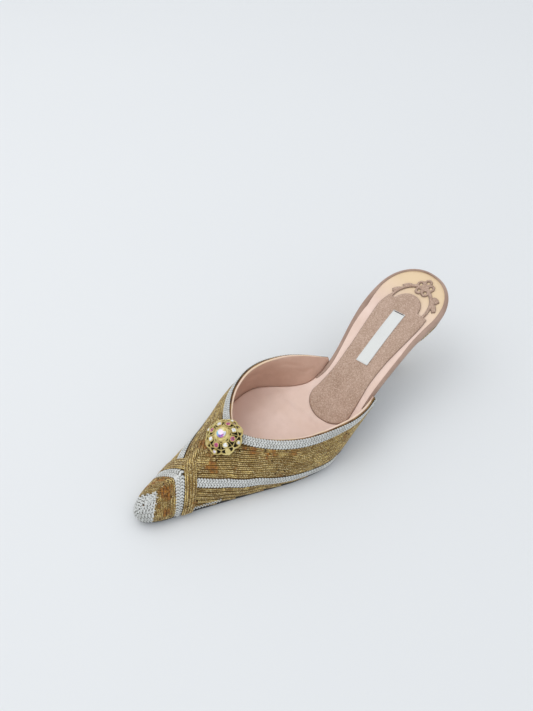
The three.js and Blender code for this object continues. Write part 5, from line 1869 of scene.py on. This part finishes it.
class MULE_OT_braids(bpy.types.Operator):
    """Lay the flat silver braids"""
    bl_idname = "mule.braids"
    bl_label = "Silver braids"
    bl_options = {"REGISTER", "UNDO"}

    def execute(self, context):
        look = context.scene.mule_braids
        names = ("braid_topline", "braid_sides", "braid_front")
        for name, guides in zip(names, braid_guides(look.width / MM)):
            made = grown(guides.build(name), "braid", Width=look.width, Strand_Height=look.thickness,
                         Pitch=look.pitch, Material=finish("silver braid"))
            dress(made, "upper", "upper")
        return {"FINISHED"}


class MULE_OT_binding(bpy.types.Operator):
    """Bind the topline with a thin cord and the lining's turned edge"""
    bl_idname = "mule.binding"
    bl_label = "Topline binding"
    bl_options = {"REGISTER", "UNDO"}

    def execute(self, context):
        for name, depth, wide, high, look in (("binding_cord", 0.35, 0.0008, 0.0008, "topline"),
                                              ("binding_lining", 1.45, 0.0015, 0.0010, "lining edge")):
            made = grown(topline_guides(depth).build(name), "thread", Width=wide, Height=high,
                         Material=finish(look))
            dress(face_outwards(made), "upper", "upper")
        return {"FINISHED"}


class MULE_OT_footbed(bpy.types.Operator):
    """Build the creased insole with its wrapped rim, and the outsole"""
    bl_idname = "mule.footbed"
    bl_label = "Footbed and sole"
    bl_options = {"REGISTER", "UNDO"}

    def execute(self, context):
        look = context.scene.mule_leathers
        slope = lambda drop: lambda y: top_z(y) + drop * steep(y)
        edge_profile = [(offset, slope(drop)) for offset, drop in INSOLE_EDGE]
        thetas = np.linspace(0, math.pi, INSOLE_GRID["along"])
        across = INSOLE_GRID["across"]
        insole = sole_slab("insole", thetas, edge_profile, across, finish("insole"), insole_lift)
        dress(insole, "footbed", "footbed")
        dress(rim_wrap(look.rim_width / MM, finish("rim")), "footbed", "footbed")
        full = GAP + WALL + SOLE_SHOWS
        ease = lambda t: t * t * (3 - 2 * t)
        start, end = SOLE_WIDENS
        ahead = lambda y: ease(min(1.0, max(0.0, (y - start) / (end - start))))
        out = lambda more: lambda y: more - WAIST_INSET + (full + WAIST_INSET) * ahead(y)
        level = lambda t: lambda y: outsole_under(y) * (1 - t) + outsole_top(y) * t
        sole_profile = [(out(more), level(t)) for more, t in OUTSOLE_EDGE]
        front = np.linspace(edge_theta(BREAST_Y + GAP), math.pi, OUTSOLE_GRID["along"])
        outsole = sole_slab("outsole_leather", front, sole_profile, OUTSOLE_GRID["across"], finish("sole"))
        dress(outsole, "outsole", "outsole")
        return {"FINISHED"}


class MULE_OT_sock(bpy.types.Operator):
    """Lay the suede sock with its sprig, and the bare label"""
    bl_idname = "mule.sock"
    bl_label = "Sock and label"
    bl_options = {"REGISTER", "UNDO"}

    def execute(self, context):
        dress(suede_sock(finish("suede")), "sock", "sock")
        tape, stitches = bare_label(finish("label"), finish("dark thread"))
        dress(tape, "label", "label")
        dress(stitches, "label", "label")
        return {"FINISHED"}


class MULE_OT_heel(bpy.types.Operator):
    """Cover the heel with cords and finish its tip"""
    bl_idname = "mule.heel"
    bl_label = "Heel"
    bl_options = {"REGISTER", "UNDO"}

    def execute(self, context):
        dress(heel_cover(finish("ground")), "heel", "heel")
        width = context.scene.mule_cords.width / MM
        dress(corded(heel_cords(HEEL_CORDS, width), "heel_cords"), "heel", "heel")
        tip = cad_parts["heel_tip"]
        for slot in tip.material_slots:
            slot.material = finish("tip")
        return {"FINISHED"}


class MULE_OT_rosette(bpy.types.Operator):
    """Build the pierced rosette, its settings and its stones"""
    bl_idname = "mule.rosette"
    bl_label = "Rosette and stones"
    bl_options = {"REGISTER", "UNDO"}

    def execute(self, context):
        look = context.scene.mule_rosette
        dress(pierced_plate(look.loops, look.thickness / MM, finish("metal")), "rosette", "ornament")
        dress(rosette_backing(finish("hole_shade")), "rosette", "ornament")
        settings = grown(settings_guides(), "ring", Wire=look.wire, Rise=0.0004, Material=finish("metal"))
        dress(settings, "rosette", "ornament")
        clear = [f"stone_inner_{i}" for i in (2, 4, 6, 8)] + [f"stone_outer_{i}" for i in (1, 2, 3, 4)]
        pink = [f"stone_inner_{i}" for i in (1, 3, 5, 7)]
        dress(stones("stone_centre_cut", "centre", finish("rainbow"), 3), "stone_clear", "stone_centre")
        dress(stones("stones_clear_cut", "clear", finish("clear"), 5), "stone_clear", *clear)
        dress(stones("stones_pink_cut", "pink", finish("pink"), 8), "stone_pink", *pink)
        return {"FINISHED"}


FLOOR_HALF = 1500
WINDOW = {
    "target": (0, 140, 20), "away": (0.55, 0.35, 1.15), "wide": 1.1, "high": 0.9, "colour": (1.0, 0.97, 0.93)}
SKY_COLOUR = (0.96, 0.975, 1.0, 1)
CAMERA = {
    "place": (-185.7, 313.1, 363.7), "forward": (0.5127, -0.4243, -0.7464), "up": (0.5781, -0.4722, 0.6655),
    "right": (-0.635, -0.773, 0.003)}


class MULE_OT_stage(bpy.types.Operator):
    """Set the floor, the lights and the camera"""
    bl_idname = "mule.stage"
    bl_label = "Floor, light and camera"
    bl_options = {"REGISTER", "UNDO"}

    def execute(self, context):
        look = context.scene.mule_stage
        corners = [(x * FLOOR_HALF, y * FLOOR_HALF, -0.05) for x, y in ((-1, -1), (1, -1), (1, 1), (-1, 1))]
        floor = piece("floor", corners, [(0, 1, 2, 3)], finish("floor"), smooth=False)
        world = bpy.data.worlds.new("room")
        world.use_nodes = True
        sky = world.node_tree.nodes["Background"]
        sky.inputs["Color"].default_value = SKY_COLOUR
        sky.inputs["Strength"].default_value = look.sky
        context.scene.world = world
        lamp = bpy.data.lights.new("window", "AREA")
        lamp.energy, lamp.shape, lamp.color = look.key, "RECTANGLE", WINDOW["colour"]
        lamp.size, lamp.size_y = WINDOW["wide"], WINDOW["high"]
        window = bpy.data.objects.new("window", lamp)
        target = Vector(to_scene(WINDOW["target"]))
        window.location = target + Vector(WINDOW["away"])
        window.rotation_euler = (target - window.location).to_track_quat("-Z", "Y").to_euler()
        context.scene.collection.objects.link(window)
        lens = bpy.data.cameras.new("camera")
        lens.lens, lens.sensor_width, lens.sensor_fit = look.lens, 36.0, "AUTO"
        lens.clip_start, lens.clip_end = 0.01, 20
        camera = bpy.data.objects.new("camera", lens)
        place = Matrix.Translation(Vector(to_scene(CAMERA["place"])))
        right, up, back = CAMERA["right"], CAMERA["up"], [-v for v in CAMERA["forward"]]
        camera.matrix_world = place @ Matrix((right, up, back)).transposed().to_4x4()
        context.scene.collection.objects.link(camera)
        context.scene.camera = camera
        context.scene.view_settings.view_transform = "Standard"
        return {"FINISHED"}


class MULE_PT_panel(bpy.types.Panel):
    """Lists the mule's pieces and their sizes"""
    bl_idname = "MULE_PT_panel"
    bl_label = "Corded mule"
    bl_space_type = "VIEW_3D"
    bl_region_type = "UI"
    bl_category = "Mule"

    def draw(self, context):
        for operators, settings in PANEL_ROWS:
            box = self.layout.box()
            for operator in operators:
                box.operator(operator.bl_idname)
            group = getattr(context.scene, settings)
            for name in group.bl_rna.properties.keys():
                if name not in ("rna_type", "name"):
                    box.prop(group, name)


PANEL_ROWS = (
    ((MULE_OT_upper, MULE_OT_cords), "mule_cords"), ((MULE_OT_braids, MULE_OT_binding), "mule_braids"),
    ((MULE_OT_footbed, MULE_OT_sock, MULE_OT_heel), "mule_leathers"), ((MULE_OT_rosette,), "mule_rosette"),
    ((MULE_OT_stage,), "mule_stage"))
SETTINGS = {
    "mule_cords": MuleCordSettings, "mule_braids": MuleBraidSettings, "mule_leathers": MuleLeatherSettings,
    "mule_rosette": MuleRosetteSettings, "mule_stage": MuleStageSettings}
OPERATORS = [operator for operators, _ in PANEL_ROWS for operator in operators]
CLASSES = (*SETTINGS.values(), *OPERATORS, MULE_PT_panel)


def register():
    for cls in CLASSES:
        bpy.utils.register_class(cls)
    for name, group in SETTINGS.items():
        setattr(bpy.types.Scene, name, PointerProperty(type=group))


def unregister():
    for name in SETTINGS:
        delattr(bpy.types.Scene, name)
    for cls in reversed(CLASSES):
        bpy.utils.unregister_class(cls)


def main():
    register()
    bpy.ops.mule.upper()
    bpy.ops.mule.cords()
    bpy.ops.mule.braids()
    bpy.ops.mule.binding()
    bpy.ops.mule.footbed()
    bpy.ops.mule.sock()
    bpy.ops.mule.heel()
    bpy.ops.mule.rosette()
    bpy.ops.mule.stage()


if __name__ == "__main__":
    main()
